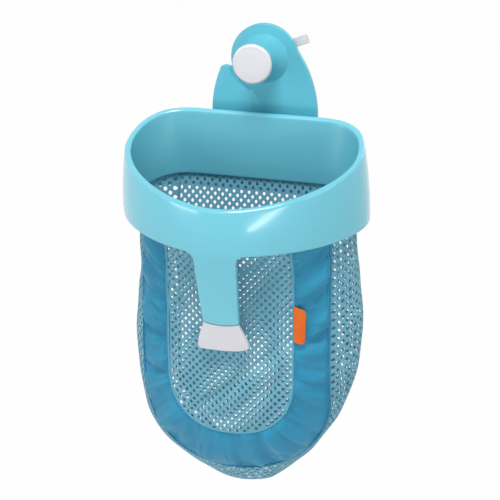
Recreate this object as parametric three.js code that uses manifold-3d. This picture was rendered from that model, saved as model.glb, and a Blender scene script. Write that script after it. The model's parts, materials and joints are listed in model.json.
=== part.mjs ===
// Wall-hung bath toy organizer: a mesh bag on a rigid scoop, which hangs from a suction bracket.
// Millimetres, +Z up. The wall is the plane y = 0 and the object stands out towards -Y.
// The origin is the centre of the suction cup's face on the wall.
import * as THREE from "three";
import { mergeVertices } from "three/addons/utils/BufferGeometryUtils.js";
import Module from "manifold-3d";

const wasm = await Module();
wasm.setup();

// Fits that all pieces share
const clearance = 0.3;
const overrun = 2;
const skin = 2.6;

// Suction cup and the stud that draws its centre off the wall
const cupRadius = 30;
const cupRim = 1.4;
const cupHubRadius = 12.5;
const cupHubDepth = 8.4;
const cupShoulder = 3.4;
const studFootRadius = 9;
const studFootDepth = 2.4;
const studFootFloor = 2.6;
const studRadius = 4;
const studTipChamfer = 0.8;
const tabWidth = 9.6;
const tabDepth = 3.2;
const tabReach = 46.5;
const tabBevel = 2.4;
const tabAngle = THREE.MathUtils.degToRad(21);
const tabRoot = 24;

// Bracket plate: a disc over a wider arch, both hollow behind, and the groove that parts them on the left
const plateFront = 15;
const plateFoot = 9;
const discRadius = 36;
const discDrop = 4.4;
const lobeDrop = 10;
const archHalf = 56.8;
const archRise = 88.7;
const archDrop = 56.4;
const archPower = 1.8;
const plateTail = 79.3;
const tailCorner = 14;
const plateEdge = 1.8;
const grooveWidth = 3.4;
const grooveDepth = 3.6;
const grooveEndAngle = THREE.MathUtils.degToRad(245);
const grooveSpread = THREE.MathUtils.degToRad(5);

// Trumpet boss that carries the knob in front of the plate
const bossBaseRadius = 25.5;
const bossBaseDrop = 4.4;
const bossHeight = 32;
const bossNeckRadius = 12.5;
const bossFlarePower = 2.4;
const sleeveWall = 2.2;
const pressRadius = 27.2;

// Washer, knob, threaded insert and cap
const washerRadius = 11;
const washerDepth = 1.2;
const knobRadius = 20.5;
const knobDepth = 13.5;
const knobEdge = 1.6;
const knobWall = 2.4;
const insertRadius = 7;
const insertDepth = 7;
const insertSeat = 2;
const capRadius = 16.6;
const capDepth = 1.8;
const capRecess = 0.5;
const studTravel = 3;

// Hook on the bracket and hanger on the scoop
const hookHalf = 28;
const hookGap = 5.4;
const hookTongue = 3.6;
const hookTop = -99;
const hookFloor = -129;
const hookShelf = 3;
const hangerWeb = 4;
const hangerPlay = 0.9;
const hangerGusset = 3.2;
const hangerGussetRise = 10.8;

// Scoop rim: the mouth's inner edge, seen from above, how far the inner wall's foot stands inside it
// and how far the band flares outside it, and the planes that slope down to the front
const rimBack = -40;
const mouth = { half: 116.7, back: rimBack, cornerX: 43, cornerY: 53.7, front: 94, power: 1.74, shift: 0 };
const ledgeStep = { half: -4, back: -3, cornerX: -2, cornerY: -3, front: -7, power: 0.02 };
const bandFlare = { half: 12.6, back: 10, cornerX: 4.2, cornerY: -0.5, front: 17.5, power: 0.04 };
const lip = 6.7;
const lipCrown = 2.4;
const lipDepth = 5;
const lipShares = [
  { across: 0.75, drop: 0.35 },
  { across: 0.5, drop: 0 },
  { across: 0.2, drop: 0.35 },
];
const bandRowShares = [0, 0.33, 0.67, 1];
const rimWall = 2.4;
const topPlane = { z: -58, slope: 0.349 };
const ledgeDrop = 67;
const ledgeSlope = 0.194;
const skirtDrop = 19.6;
const skirtSlope = 0.08;

// Retaining ring, its screws and the bosses that take them
const hemCloth = 1.2;
const hemRise = 13.2;
const hemTuck = 1;
const ringWidth = 3.4;
const ringHeight = 6;
const ringRise = 8;
const screwRadius = 0.9;
const screwLength = 12;
const screwHeadRadius = 1.7;
const screwHeadDepth = 1.6;
const screwBossRadius = 2.9;
const screwBossHeight = 16;
const screwShares = [0.035, 0.17, 0.29, 0.43, 0.57, 0.71, 0.83, 0.965];

// Handle arm and its white tip
const armTopHalf = 22;
const armEndHalf = 18.5;
const armDepth = 8;
const armRootRise = 7.5;
const armLength = 79.6;
const armSlope = 0.275;
const armFillets = [
  { drop: 16, widening: 0, depthShare: 1 },
  { drop: 7, widening: 1, depthShare: 0.8 },
  { drop: 2.4, widening: 2.4, depthShare: 0.65 },
  { drop: -1.2, widening: 7, depthShare: 0.5 },
  { drop: -armRootRise, widening: 7, depthShare: 0.3 },
];
const spigotLength = 15;
const spigotInset = 2.2;
const tipLength = 32;
const tipEndHalf = 27;
const tipEndDepth = 9.5;
const tipRound = 3;
const tipShares = [
  { rise: 0.33, flare: 0.75 },
  { rise: 0.67, flare: 0.25 },
];

// Bag: a sack whose rings follow these shares of its drop, half width, depth and sway
const bagHalf = 121.4;
const bagDrop = 330.5;
const bagDepth = 113;
const bagSway = 8;
const bagWidest = 54;
const bagPower = 1.85;
const cloth = 1.6;
const bagPoleShares = { sway: 0.3, depth: 0.4 };
const bagLevelShares = [
  { drop: 0.086, half: 0.949, sway: 0.3, back: 0.044, front: 1.159, widest: 1, slope: 0.77 },
  { drop: 0.145, half: 0.949, sway: 0.55, back: 0.071, front: 1.097, widest: 1, slope: 0.5 },
  { drop: 0.244, half: 0.963, sway: 0.88, back: 0.08, front: 1.035, widest: 1, slope: 0.25 },
  { drop: 0.362, half: 0.994, sway: 0.82, back: 0.08, front: 1, widest: 1, slope: 0 },
  { drop: 0.47, half: 1.004, sway: 0.6, back: 0.08, front: 1, widest: 1, slope: 0 },
  { drop: 0.585, half: 0.968, sway: 0.25, back: 0.08, front: 0.982, widest: 1, slope: 0 },
  { drop: 0.69, half: 0.899, sway: -0.15, back: 0.08, front: 0.947, widest: 1, slope: 0 },
  { drop: 0.765, half: 0.82, sway: -0.75, back: 0.088, front: 0.894, widest: 0.98, slope: 0 },
  { drop: 0.845, half: 0.692, sway: -1, back: 0.124, front: 0.805, widest: 0.93, slope: 0 },
  { drop: 0.904, half: 0.53, sway: -0.9, back: 0.177, front: 0.699, widest: 0.87, slope: 0 },
  { drop: 0.95, half: 0.36, sway: -0.4, back: 0.239, front: 0.584, widest: 0.83, slope: 0 },
  { drop: 0.985, half: 0.2, sway: 0.1, back: 0.319, front: 0.487, widest: 0.83, slope: 0 },
];
const bagCornerShare = 0.37;

// Panels of the bag, as U shapes seen from the front: half width, where the bend starts, its depth and power
const windowShape = { half: 66, bend: -303, deep: 68, power: 2.4 };
const panelShape = { half: 101, bend: -328, deep: 96, power: 2.2 };
const backShape = { half: 84, bend: -340, deep: 84, power: 2.2 };
const frontLimit = -97;
const backLimit = -72;
const windowBinding = 4.4;
const seamBinding = 3.4;
const bindingDepth = 1.2;
const labelWidth = 10.4;
const labelTop = -223;
const labelLength = 41;
const labelDepth = 1.4;

// Facets
const ringSides = { back: 3, corner: 7, front: 15 };
const bagSides = { back: 2, corner: 5, front: 12 };
const roundSides = 32;
const armSides = 16;
const smallSides = 8;
const bendSteps = 8;

// Finishes
function finish(color, roughness, metalness = 0) {
  return new THREE.MeshStandardMaterial({ color, roughness, metalness });
}

const turquoise = finish(0x7cc9da, 0.3);
const bracketBlue = finish(0x68bccf, 0.32);
const white = finish(0xe4e4e8, 0.35);
const clearVinyl = finish(0xe6eaec, 0.2);
const brass = finish(0xb79a5b, 0.35, 0.9);
const steel = finish(0xb8bbbf, 0.3, 0.9);
const woven = finish(0x3c96b9, 0.8);
const mesh = finish(0x86c4d6, 0.75);
const binding = finish(0x8fd2df, 0.75);
const orange = finish(0xeb6414, 0.7);

// Solids: three.js geometry in, boolean work, three.js geometry out
function solid(geometry) {
  const bare = geometry.index ? geometry.toNonIndexed() : geometry.clone();
  bare.deleteAttribute("normal");
  bare.deleteAttribute("uv");
  const merged = mergeVertices(bare);
  const vertProperties = new Float32Array(merged.attributes.position.array);
  const triVerts = new Uint32Array(merged.index.array);
  return new wasm.Manifold(new wasm.Mesh({ numProp: 3, vertProperties, triVerts }));
}

function geometryOf(body) {
  const made = body.getMesh();
  const geometry = new THREE.BufferGeometry();
  geometry.setAttribute("position", new THREE.BufferAttribute(new Float32Array(made.vertProperties), 3));
  geometry.setIndex(new THREE.BufferAttribute(new Uint32Array(made.triVerts), 1));
  geometry.computeVertexNormals();
  return geometry;
}

function joined(bodies) {
  return bodies.reduce((all, body) => all.add(body));
}

// An outline drawn in x and z, extruded from the depth nearer the wall to the depth nearer the front
function slab(shape, nearWall, nearFront) {
  const geometry = new THREE.ExtrudeGeometry(shape, { depth: nearFront - nearWall, bevelEnabled: false });
  return solid(geometry.rotateX(Math.PI / 2).translate(0, -nearWall, 0));
}

function slabBox(left, right, low, high, nearWall, nearFront) {
  const geometry = new THREE.BoxGeometry(right - left, nearFront - nearWall, high - low);
  return solid(geometry.translate((left + right) / 2, -(nearWall + nearFront) / 2, (low + high) / 2));
}

// A body of revolution about the knob's axis: the profile gives radius and distance from the wall
function turnedSolid(profile) {
  const points = profile.map(([radius, depth]) => new THREE.Vector2(radius, -depth)).reverse();
  return solid(new THREE.LatheGeometry([...points, points[0]], roundSides));
}

// D-shaped outlines seen from above
function grown(outline, by) {
  return {
    half: outline.half + by,
    back: outline.back + by,
    cornerX: outline.cornerX + by,
    cornerY: outline.cornerY + by,
    front: outline.front + by,
    power: outline.power,
    shift: outline.shift,
  };
}

function stepped(outline, step) {
  const out = { shift: outline.shift };
  for (const key of Object.keys(step)) out[key] = outline[key] + step[key];
  return out;
}

function mixed(a, b, share) {
  const out = {};
  for (const key of Object.keys(a)) out[key] = a[key] + (b[key] - a[key]) * share;
  return out;
}

function raised(plane, by) {
  return { z: plane.z + by, slope: plane.slope };
}

function heightAt(plane, y) {
  return plane.z + plane.slope * (y - rimBack);
}

const ledge = stepped(mouth, ledgeStep);
const hemline = stepped(mouth, bandFlare);
const ledgePlane = { z: topPlane.z - ledgeDrop, slope: ledgeSlope };
const skirtPlane = { z: ledgePlane.z - skirtDrop, slope: skirtSlope };

// Half of the outline, from the middle of the back round the -X side to the middle of the front
function halfRing(outline, sides) {
  const { half, back, cornerX, cornerY, front, power } = outline;
  const widest = back - cornerY;
  const points = [];
  for (let i = 0; i < sides.back; i++) points.push([((half - cornerX) * i) / sides.back, back]);
  for (let i = 0; i < sides.corner; i++) {
    const turn = (Math.PI / 2) * (i / sides.corner);
    points.push([half - cornerX + cornerX * Math.sin(turn), widest + cornerY * Math.cos(turn)]);
  }
  for (let i = 0; i <= sides.front; i++) {
    const turn = (Math.PI / 2) * (i / sides.front);
    const across = Math.max(Math.cos(turn), 0) ** (2 / power);
    points.push([half * across, widest - front * Math.sin(turn) ** (2 / power)]);
  }
  return points;
}

// The whole outline, counter-clockwise from above, on a sloping plane
function ring(outline, plane, sides) {
  const half = halfRing(outline, sides);
  const other = half.slice(1, -1).reverse();
  const points = [...half.map(([x, y]) => [-x, y]), ...other];
  return points.map(([x, y]) => new THREE.Vector3(x + outline.shift, y, heightAt(plane, y)));
}

// A skin over stacked rings: closed on itself, or closed at both ends by a point
function loft(rings, ends) {
  const count = rings[0].length;
  const vertices = rings.flat();
  const faces = [];
  const at = (row, i) => (row % rings.length) * count + (i % count);
  const rows = ends ? rings.length - 1 : rings.length;
  for (let row = 0; row < rows; row++) {
    for (let i = 0; i < count; i++) {
      faces.push(at(row, i), at(row, i + 1), at(row + 1, i + 1));
      faces.push(at(row, i), at(row + 1, i + 1), at(row + 1, i));
    }
  }
  if (ends) {
    const low = vertices.push(ends.low) - 1;
    const high = vertices.push(ends.high) - 1;
    const last = rings.length - 1;
    for (let i = 0; i < count; i++) {
      faces.push(low, at(0, i + 1), at(0, i));
      faces.push(high, at(last, i), at(last, i + 1));
    }
  }
  const geometry = new THREE.BufferGeometry().setFromPoints(vertices);
  geometry.setIndex(faces);
  return geometry;
}

function centreOf(points) {
  const sum = points.reduce((total, point) => total.add(point), new THREE.Vector3());
  return sum.divideScalar(points.length);
}

// Stacked rings with flat ends, from the lowest ring to the highest
function stack(rings) {
  return solid(loft(rings, { low: centreOf(rings[0]), high: centreOf(rings[rings.length - 1]) }));
}

// Bracket
function ellipseArc(centreZ, radiusX, radiusZ, from, to, steps, centreX = 0) {
  const points = [];
  for (let i = 0; i <= steps; i++) {
    const angle = from + ((to - from) * i) / steps;
    points.push(new THREE.Vector2(centreX + radiusX * Math.cos(angle), centreZ + radiusZ * Math.sin(angle)));
  }
  return points;
}

const discCentre = -discDrop;
const archCentre = discCentre - archDrop;
const grooveRadius = discRadius + grooveWidth;

// Half width of the arch at a height, inside an even inset
function archWidth(z, inset) {
  const share = Math.min((z - archCentre) / (archRise - inset), 1);
  return (archHalf - inset) * (1 - share ** archPower) ** (1 / archPower);
}

// Outline of the plate: the arch, the disc that stands out of its top, and the step at the lobe's tip
function plateOutline(inset) {
  const radius = discRadius - inset;
  const bottom = archCentre - plateTail + inset;
  const corner = tailCorner - inset;
  const half = archHalf - inset;
  const stepZ = discCentre - lobeDrop - inset;
  const stepTurn = Math.asin((lobeDrop + inset) / radius);
  const points = [];
  for (let i = 0; i < bendSteps; i++) {
    const z = archCentre + ((stepZ - archCentre) * i) / bendSteps;
    points.push(new THREE.Vector2(archWidth(z, inset), z));
  }
  for (let i = 0; i <= roundSides / 2; i++) {
    const turn = -stepTurn + ((Math.PI + stepTurn * 2) * i) / (roundSides / 2);
    const z = discCentre + radius * Math.sin(turn);
    const x = radius * Math.cos(turn);
    points.push(new THREE.Vector2(x > 0 ? Math.max(x, archWidth(z, inset)) : x, z));
  }
  for (let i = 0; i <= bendSteps; i++) {
    const z = stepZ + ((archCentre - stepZ) * i) / bendSteps;
    points.push(new THREE.Vector2(-archWidth(z, inset), z));
  }
  const cornerSteps = bendSteps / 2;
  const low = bottom + corner;
  points.push(...ellipseArc(low, corner, corner, Math.PI, Math.PI * 1.5, cornerSteps, corner - half));
  points.push(...ellipseArc(low, corner, corner, Math.PI * 1.5, Math.PI * 2, cornerSteps, half - corner));
  return new THREE.Shape(points);
}

// The plate's solid outside, with a rounded front edge
function plateBody() {
  const bevel = {
    depth: plateFront - plateEdge,
    bevelEnabled: true,
    bevelThickness: plateEdge,
    bevelSize: plateEdge,
    bevelOffset: -plateEdge,
    bevelSegments: 2,
  };
  const geometry = new THREE.ExtrudeGeometry(plateOutline(0), bevel);
  const body = solid(geometry.rotateX(Math.PI / 2));
  const reach = archHalf + overrun;
  const low = archCentre - plateTail - overrun;
  return body.subtract(slabBox(-reach, reach, low, discRadius, -overrun, plateFoot));
}

// A stretch of an arc about the disc's centre, from the lobe's tip round to below the knob
function arcBand(inner, outer, spread, nearWall, nearFront) {
  const from = Math.PI - spread;
  const to = grooveEndAngle + spread;
  const shape = new THREE.Shape([
    ...ellipseArc(discCentre, outer, outer, from, to, bendSteps),
    ...ellipseArc(discCentre, inner, inner, to, from, bendSteps),
  ]);
  return slab(shape, nearWall, nearFront);
}

function flareRadius(share) {
  return bossNeckRadius + (bossBaseRadius - bossNeckRadius) * (1 - share) ** bossFlarePower;
}

// Rings of the boss, from its base on the plate to its top, sheared down towards the base
function bossRings(inset, from, to) {
  const rings = [];
  for (let row = 0; row <= bendSteps; row++) {
    const depth = from + ((to - from) * row) / bendSteps;
    const share = THREE.MathUtils.clamp((depth - plateFront) / bossHeight, 0, 1);
    const radius = Math.max(flareRadius(share) - inset, studRadius + sleeveWall + clearance);
    const drop = bossBaseDrop * (1 - share);
    const points = [];
    for (let i = 0; i < roundSides; i++) {
      const angle = (2 * Math.PI * i) / roundSides;
      points.push(new THREE.Vector3(radius * Math.cos(angle), -depth, radius * Math.sin(angle) - drop));
    }
    rings.push(points);
  }
  return rings;
}

function cylinderAlongY(radius, nearWall, nearFront, sides = roundSides) {
  const geometry = new THREE.CylinderGeometry(radius, radius, nearFront - nearWall, sides);
  return solid(geometry.translate(0, -(nearWall + nearFront) / 2, 0));
}

const bossTop = plateFront + bossHeight;
const cupSeat = cupHubDepth + clearance;

// Distance from the wall to the cup's back, on its sloping shoulder
function cupBackAt(radius) {
  return cupRim + (cupShoulder * (cupRadius - radius)) / (cupRadius - cupHubRadius - cupShoulder);
}

function hook() {
  const root = plateFront - skin;
  const tongueBack = plateFront + hookGap;
  const tongueFront = tongueBack + hookTongue;
  const tongue = slabBox(-hookHalf, hookHalf, hookFloor - hookShelf, hookTop, tongueBack, tongueFront);
  const shelf = slabBox(-hookHalf, hookHalf, hookFloor - hookShelf, hookFloor, root, tongueFront);
  return tongue.add(shelf);
}

function bracketPlate() {
  const depthIn = plateFront - skin;
  const grooveFloor = plateFront - grooveDepth;
  const boss = stack(bossRings(0, depthIn + skin / 2, bossTop));
  const bossHollow = stack(bossRings(skin, depthIn - overrun, bossTop - skin));
  const floor = arcBand(discRadius - skin, grooveRadius + skin, grooveSpread, grooveFloor - skin, plateFront);
  const hollow = slab(plateOutline(skin), -overrun, depthIn).subtract(floor).add(bossHollow);
  const sleeve = cylinderAlongY(studRadius + clearance + sleeveWall, cupSeat + clearance, bossTop - skin / 2);
  const pressInner = pressRadius - sleeveWall;
  const ribOuter = cylinderAlongY(pressRadius, cupBackAt(pressInner) + clearance, depthIn + skin / 2);
  const ribInner = cylinderAlongY(pressInner, 0, depthIn + skin);
  const groove = arcBand(discRadius, grooveRadius, 0, grooveFloor, plateFront + overrun);
  const shell = plateBody().subtract(groove).add(boss).subtract(hollow);
  const ribbed = shell.add(sleeve).add(ribOuter.subtract(ribInner)).add(hook());
  const bore = cylinderAlongY(studRadius + clearance, 0, bossTop + overrun);
  return ribbed.subtract(bore).subtract(tabSolid(clearance * 2, tabRoot));
}

// Suction cup: a flat disc on the wall with a hub for the stud and a tab to peel it off
function tabSolid(gap, root) {
  const width = tabWidth / 2 + gap;
  const shape = new THREE.Shape();
  shape.moveTo(root, -width);
  shape.lineTo(tabReach - tabBevel, -width);
  shape.lineTo(tabReach, -width + tabBevel);
  shape.lineTo(tabReach, width - tabBevel / 2);
  shape.lineTo(tabReach - tabBevel / 2, width);
  shape.lineTo(root, width);
  const geometry = new THREE.ExtrudeGeometry(shape, { depth: tabDepth + gap * 2, bevelEnabled: false });
  geometry.rotateX(Math.PI / 2).translate(0, gap, 0).rotateY(-tabAngle);
  return solid(geometry.translate(0, -cupRim, 0));
}

function suctionCup() {
  const cup = turnedSolid([
    [0, 0],
    [cupRadius, 0],
    [cupRadius, cupRim],
    [cupHubRadius + cupShoulder, cupRim + cupShoulder],
    [cupHubRadius, cupHubDepth - clearance],
    [cupHubRadius - clearance, cupHubDepth],
    [0, cupHubDepth],
  ]);
  const seat = turnedSolid([
    [0, studFootFloor - clearance],
    [studFootRadius + clearance, studFootFloor - clearance],
    [studFootRadius + clearance, studFootFloor + studFootDepth + clearance],
    [studRadius + clearance, studFootFloor + studFootDepth + clearance],
    [studRadius + clearance, cupHubDepth + overrun],
    [0, cupHubDepth + overrun],
  ]);
  return cup.add(tabSolid(0, tabRoot)).subtract(seat);
}

const washerFace = bossTop + clearance;
const knobFace = washerFace + washerDepth + clearance;
const knobFront = knobFace + knobDepth;
const insertBack = knobFace + insertSeat;
const studTip = knobFront - capRecess - capDepth - clearance * 2 - studTravel;

function cupStud() {
  return turnedSolid([
    [0, studFootFloor],
    [studFootRadius, studFootFloor],
    [studFootRadius, studFootFloor + studFootDepth],
    [studRadius, studFootFloor + studFootDepth],
    [studRadius, studTip - studTipChamfer],
    [studRadius - studTipChamfer, studTip],
    [0, studTip],
  ]);
}

function thrustWasher() {
  const bore = studRadius + clearance;
  return turnedSolid([
    [bore, washerFace],
    [washerRadius, washerFace],
    [washerRadius, washerFace + washerDepth],
    [bore, washerFace + washerDepth],
  ]);
}

function lockKnob() {
  const bore = studRadius + clearance;
  const capSeat = knobFront - capRecess - capDepth - clearance;
  return turnedSolid([
    [bore, knobFace],
    [knobRadius - knobEdge, knobFace],
    [knobRadius, knobFace + knobEdge],
    [knobRadius, knobFront - knobEdge],
    [knobRadius - knobEdge / 3, knobFront - knobEdge / 3],
    [knobRadius - knobEdge, knobFront],
    [capRadius + clearance, knobFront],
    [capRadius + clearance, capSeat],
    [capRadius - knobWall, capSeat],
    [capRadius - knobWall, insertBack + insertDepth],
    [insertRadius + knobWall, insertBack + insertDepth],
    [insertRadius + clearance, insertBack + insertDepth],
    [insertRadius + clearance, insertBack],
    [bore, insertBack],
  ]);
}

function knobInsert() {
  const bore = studRadius + clearance;
  return turnedSolid([
    [bore, insertBack + clearance],
    [insertRadius, insertBack + clearance],
    [insertRadius, insertBack + insertDepth],
    [bore, insertBack + insertDepth],
  ]);
}

function knobCap() {
  const front = knobFront - capRecess;
  return turnedSolid([
    [0, front - capDepth],
    [capRadius, front - capDepth],
    [capRadius, front - clearance],
    [capRadius - clearance, front],
    [0, front],
  ]);
}

// Scoop rim: a folded wall, with the band outside and the straight mouth wall inside
const lipOuter = grown(mouth, lip);
const mouthRoof = grown(mouth, rimWall);

function rimRings() {
  const at = (outline, plane) => ring(outline, plane, ringSides);
  const skirtUp = (share) => {
    const outline = mixed(hemline, lipOuter, share);
    const plane = mixed(raised(skirtPlane, rimWall), raised(topPlane, -lipCrown), share);
    return at(outline, plane);
  };
  const lipAt = ({ across, drop }) => at(grown(mouth, lip * across), raised(topPlane, -lipCrown * drop));
  return [
    at(grown(hemline, -rimWall), skirtPlane),
    at(grown(hemline, -rimWall / 3), raised(skirtPlane, rimWall / 3)),
    ...bandRowShares.map(skirtUp),
    ...lipShares.map(lipAt),
    at(mouth, raised(topPlane, -lipCrown)),
    at(ledge, raised(ledgePlane, hemRise + rimWall)),
    at(ledge, ledgePlane),
    at(grown(ledge, rimWall), ledgePlane),
    at(grown(ledge, rimWall), raised(ledgePlane, hemRise + rimWall)),
    at(mouthRoof, raised(topPlane, -lipDepth - rimWall)),
    at(grown(lipOuter, -rimWall), raised(topPlane, -lipDepth - rimWall)),
    at(grown(hemline, -rimWall), raised(skirtPlane, rimWall)),
  ];
}

// Middle line of the channel between the two walls, where ring and screws sit
const ringInner = grown(ledge, rimWall + clearance + hemCloth + clearance);
const ringOuter = grown(ringInner, ringWidth);
const ringMiddle = grown(ringInner, ringWidth / 2);
const ringFloor = raised(ledgePlane, ringRise);
const ringRoof = raised(ledgePlane, ringRise + ringHeight);

function screwPlaces() {
  const line = ring(ringMiddle, ringRoof, ringSides);
  return screwShares.map((share) => line[Math.round(share * line.length) % line.length]);
}

function post(radius, place, low, high, sides = smallSides) {
  const geometry = new THREE.CylinderGeometry(radius, radius, high - low, sides);
  return solid(geometry.rotateX(Math.PI / 2).translate(place.x, place.y, place.z + (low + high) / 2));
}

const armFront = hemline.back - hemline.cornerY - hemline.front + clearance;
const armEdge = heightAt(skirtPlane, armFront);
const armEnd = armEdge - armLength;

// A section of the arm, flush with the band above the band's edge and leaning back below it
function armSection(z, half, depth) {
  const frontY = armFront + Math.max(armEdge - z, 0) * armSlope;
  const points = [];
  for (let i = 0; i < armSides; i++) {
    const angle = (2 * Math.PI * i) / armSides;
    const cos = Math.cos(angle);
    const sin = Math.sin(angle);
    const x = half * Math.sign(cos) * Math.sqrt(Math.abs(cos));
    const y = (depth / 2) * Math.sign(sin) * Math.sqrt(Math.abs(sin));
    points.push(new THREE.Vector3(x, frontY + depth / 2 + y, z));
  }
  return points;
}

// The arm widens into the band at its root and is thin there, so that it stays in front of the ring
function armRings() {
  const root = armFillets.map(({ drop, widening, depthShare }) =>
    armSection(armEdge - drop, armTopHalf + widening, armDepth * depthShare),
  );
  const middle = (armEnd + armEdge - armFillets[0].drop) / 2;
  return [
    armSection(armEnd, armEndHalf, armDepth),
    armSection(middle, (armEndHalf + armTopHalf) / 2, armDepth),
    ...root,
  ];
}

function spigotRings(gap) {
  const half = armEndHalf - spigotInset + gap;
  const depth = armDepth - spigotInset + gap * 2;
  const inward = new THREE.Vector3(0, spigotInset / 2 - gap, 0);
  const rings = [
    armSection(armEnd - spigotLength - gap, half, depth),
    armSection(armEnd + overrun, half, depth),
  ];
  return rings.map((points) => points.map((point) => point.add(inward)));
}

// The hanger drops over the bracket's tongue
function hanger() {
  const flangeBack = plateFront + hangerPlay;
  const flangeFront = plateFront + hookGap - hangerPlay;
  const rimFace = -(rimBack + lip);
  const root = rimFace + rimWall / 3;
  const webLow = hookTop + clearance;
  const webHigh = webLow + hangerWeb;
  const half = hookHalf - clearance;
  const web = slabBox(-half, half, webLow, webHigh, flangeBack, root);
  const flange = slabBox(-half, half, hookFloor + clearance, webHigh, flangeBack, flangeFront);
  const gusset = (x) => {
    const shape = new THREE.Shape();
    shape.moveTo(-flangeFront, webHigh - clearance);
    shape.lineTo(-root, webHigh - clearance);
    shape.lineTo(-root, webHigh + hangerGussetRise);
    const geometry = new THREE.ExtrudeGeometry(shape, { depth: hangerGusset, bevelEnabled: false });
    geometry.rotateX(Math.PI / 2).rotateZ(Math.PI / 2);
    return solid(geometry.translate(x, 0, 0));
  };
  const edge = half - hangerGusset;
  return joined([web, flange, gusset(-half), gusset(edge), gusset(-hangerGusset / 2)]);
}

function scoopRim() {
  let body = solid(loft(rimRings()));
  for (const place of screwPlaces()) {
    const low = clearance + ledgePlane.slope * screwBossRadius;
    const high = Math.min(screwBossHeight, heightAt(topPlane, place.y) - place.z - lipCrown - rimWall);
    const boss = post(screwBossRadius, place, low, high);
    body = body.add(boss);
  }
  for (const place of screwPlaces()) {
    const pilotTop = screwLength - ringHeight + clearance;
    body = body.subtract(post(screwRadius + clearance, place, -overrun, pilotTop));
  }
  return body.add(stack(armRings())).add(stack(spigotRings(0))).add(hanger());
}

function bagRing() {
  const at = (outline, plane) => ring(outline, plane, ringSides);
  const rings = [
    at(ringInner, ringFloor),
    at(ringOuter, ringFloor),
    at(ringOuter, ringRoof),
    at(ringInner, ringRoof),
  ];
  let body = solid(loft(rings));
  for (const place of screwPlaces()) {
    body = body.subtract(post(screwRadius + clearance, place, -ringHeight - overrun, overrun));
  }
  return body;
}

function ringScrew(place) {
  const seat = -ringHeight - clearance - Math.abs(ringFloor.slope) * screwHeadRadius;
  const shank = post(screwRadius, place, seat - screwHeadDepth / 2, screwLength - ringHeight - clearance);
  const head = post(screwHeadRadius, place, seat - screwHeadDepth, seat);
  return shank.add(head);
}

// White tip: a flared grip that slides over the arm's spigot
function handleTip() {
  const low = armEnd - tipLength;
  const top = armEnd - clearance;
  const flareAt = ({ rise, flare }) => {
    const half = armEndHalf + (tipEndHalf - armEndHalf) * flare;
    return armSection(low + tipLength * rise, half, armDepth + (tipEndDepth - armDepth) * flare);
  };
  const rings = [
    armSection(low, tipEndHalf - tipRound, tipEndDepth - tipRound),
    armSection(low + tipRound / 2, tipEndHalf, tipEndDepth),
    ...tipShares.map(flareAt),
    armSection(top, armEndHalf, armDepth),
  ];
  return stack(rings).subtract(stack(spigotRings(clearance)));
}

// Bag
function bagRings() {
  const top = grown(ledge, rimWall + clearance + hemCloth);
  const start = raised(ledgePlane, -hemTuck - clearance);
  const rings = [ring(top, start, bagSides)];
  for (const share of bagLevelShares) {
    const half = bagHalf * share.half;
    const back = rimBack - bagDepth * share.back;
    const widest = rimBack - bagWidest * share.widest;
    const outline = {
      half,
      back,
      cornerX: half * bagCornerShare,
      cornerY: back - widest,
      front: widest - (rimBack - bagDepth * share.front),
      power: bagPower,
      shift: bagSway * share.sway,
    };
    const plane = { z: start.z - bagDrop * share.drop, slope: start.slope * share.slope };
    rings.push(ring(outline, plane, bagSides));
  }
  return rings.reverse();
}

const bagBottom = new THREE.Vector3(
  bagSway * bagPoleShares.sway,
  rimBack - bagDepth * bagPoleShares.depth,
  ledgePlane.z - hemTuck - clearance - bagDrop,
);

// The same rings moved along their surface's normal, outwards where the distance is positive
function offsetRings(rings, by) {
  const count = rings[0].length;
  return rings.map((points, row) =>
    points.map((point, i) => {
      const below = row > 0 ? rings[row - 1][i] : bagBottom;
      const above = rings[Math.min(row + 1, rings.length - 1)][i];
      const along = points[(i + 1) % count].clone().sub(points[(i + count - 1) % count]);
      const up = above.clone().sub(below);
      const normal = along.cross(up).normalize();
      return point.clone().addScaledVector(normal, by);
    }),
  );
}

function bagSolid(by) {
  const rings = offsetRings(bagRings(), by);
  const low = bagBottom.clone().add(new THREE.Vector3(0, 0, -by));
  const high = centreOf(rings[rings.length - 1]);
  return solid(loft(rings, { low, high }));
}

function bagLayer(outer, inner) {
  const open = offsetRings(bagRings(), inner);
  const low = bagBottom.clone().add(new THREE.Vector3(0, 0, -inner));
  const raisedTop = open[open.length - 1].map((point) => point.clone().add(new THREE.Vector3(0, 0, hemRise)));
  const all = [...open, raisedTop];
  return bagSolid(outer).subtract(solid(loft(all, { low, high: centreOf(raisedTop) })));
}

// A U-shaped prism through the front or the back of the bag
function panelPrism(shape, by, nearWall, nearFront) {
  const half = shape.half + by;
  const deep = shape.deep + by;
  const points = [];
  for (let i = 0; i <= bendSteps * 2; i++) {
    const angle = Math.PI * (i / (bendSteps * 2));
    const cos = Math.cos(angle);
    const x = half * Math.sign(cos) * Math.abs(cos) ** (2 / shape.power);
    const z = shape.bend - deep * Math.sin(angle) ** (2 / shape.power);
    points.push(new THREE.Vector2(x, z));
  }
  const top = rimBack;
  points.push(new THREE.Vector2(-half, top), new THREE.Vector2(half, top));
  return slab(new THREE.Shape(points), nearWall, nearFront);
}

const frontReach = bagDepth * 2 - rimBack;
const frontPrism = (shape, by) => panelPrism(shape, by, -frontLimit, frontReach);
const backPrism = (shape, by) => panelPrism(shape, by, 0, -backLimit);

const clothLayer = bagLayer(0, -cloth);
const trimLayer = bagLayer(clearance + bindingDepth, clearance);

function bagFrontMesh() {
  return clothLayer.intersect(frontPrism(windowShape, -clearance / 2));
}

function bagFrontPanel() {
  const outer = frontPrism(panelShape, -clearance / 2);
  return clothLayer.intersect(outer).subtract(frontPrism(windowShape, clearance / 2));
}

function bagBackPanel() {
  return clothLayer.intersect(backPrism(backShape, -clearance / 2));
}

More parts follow.
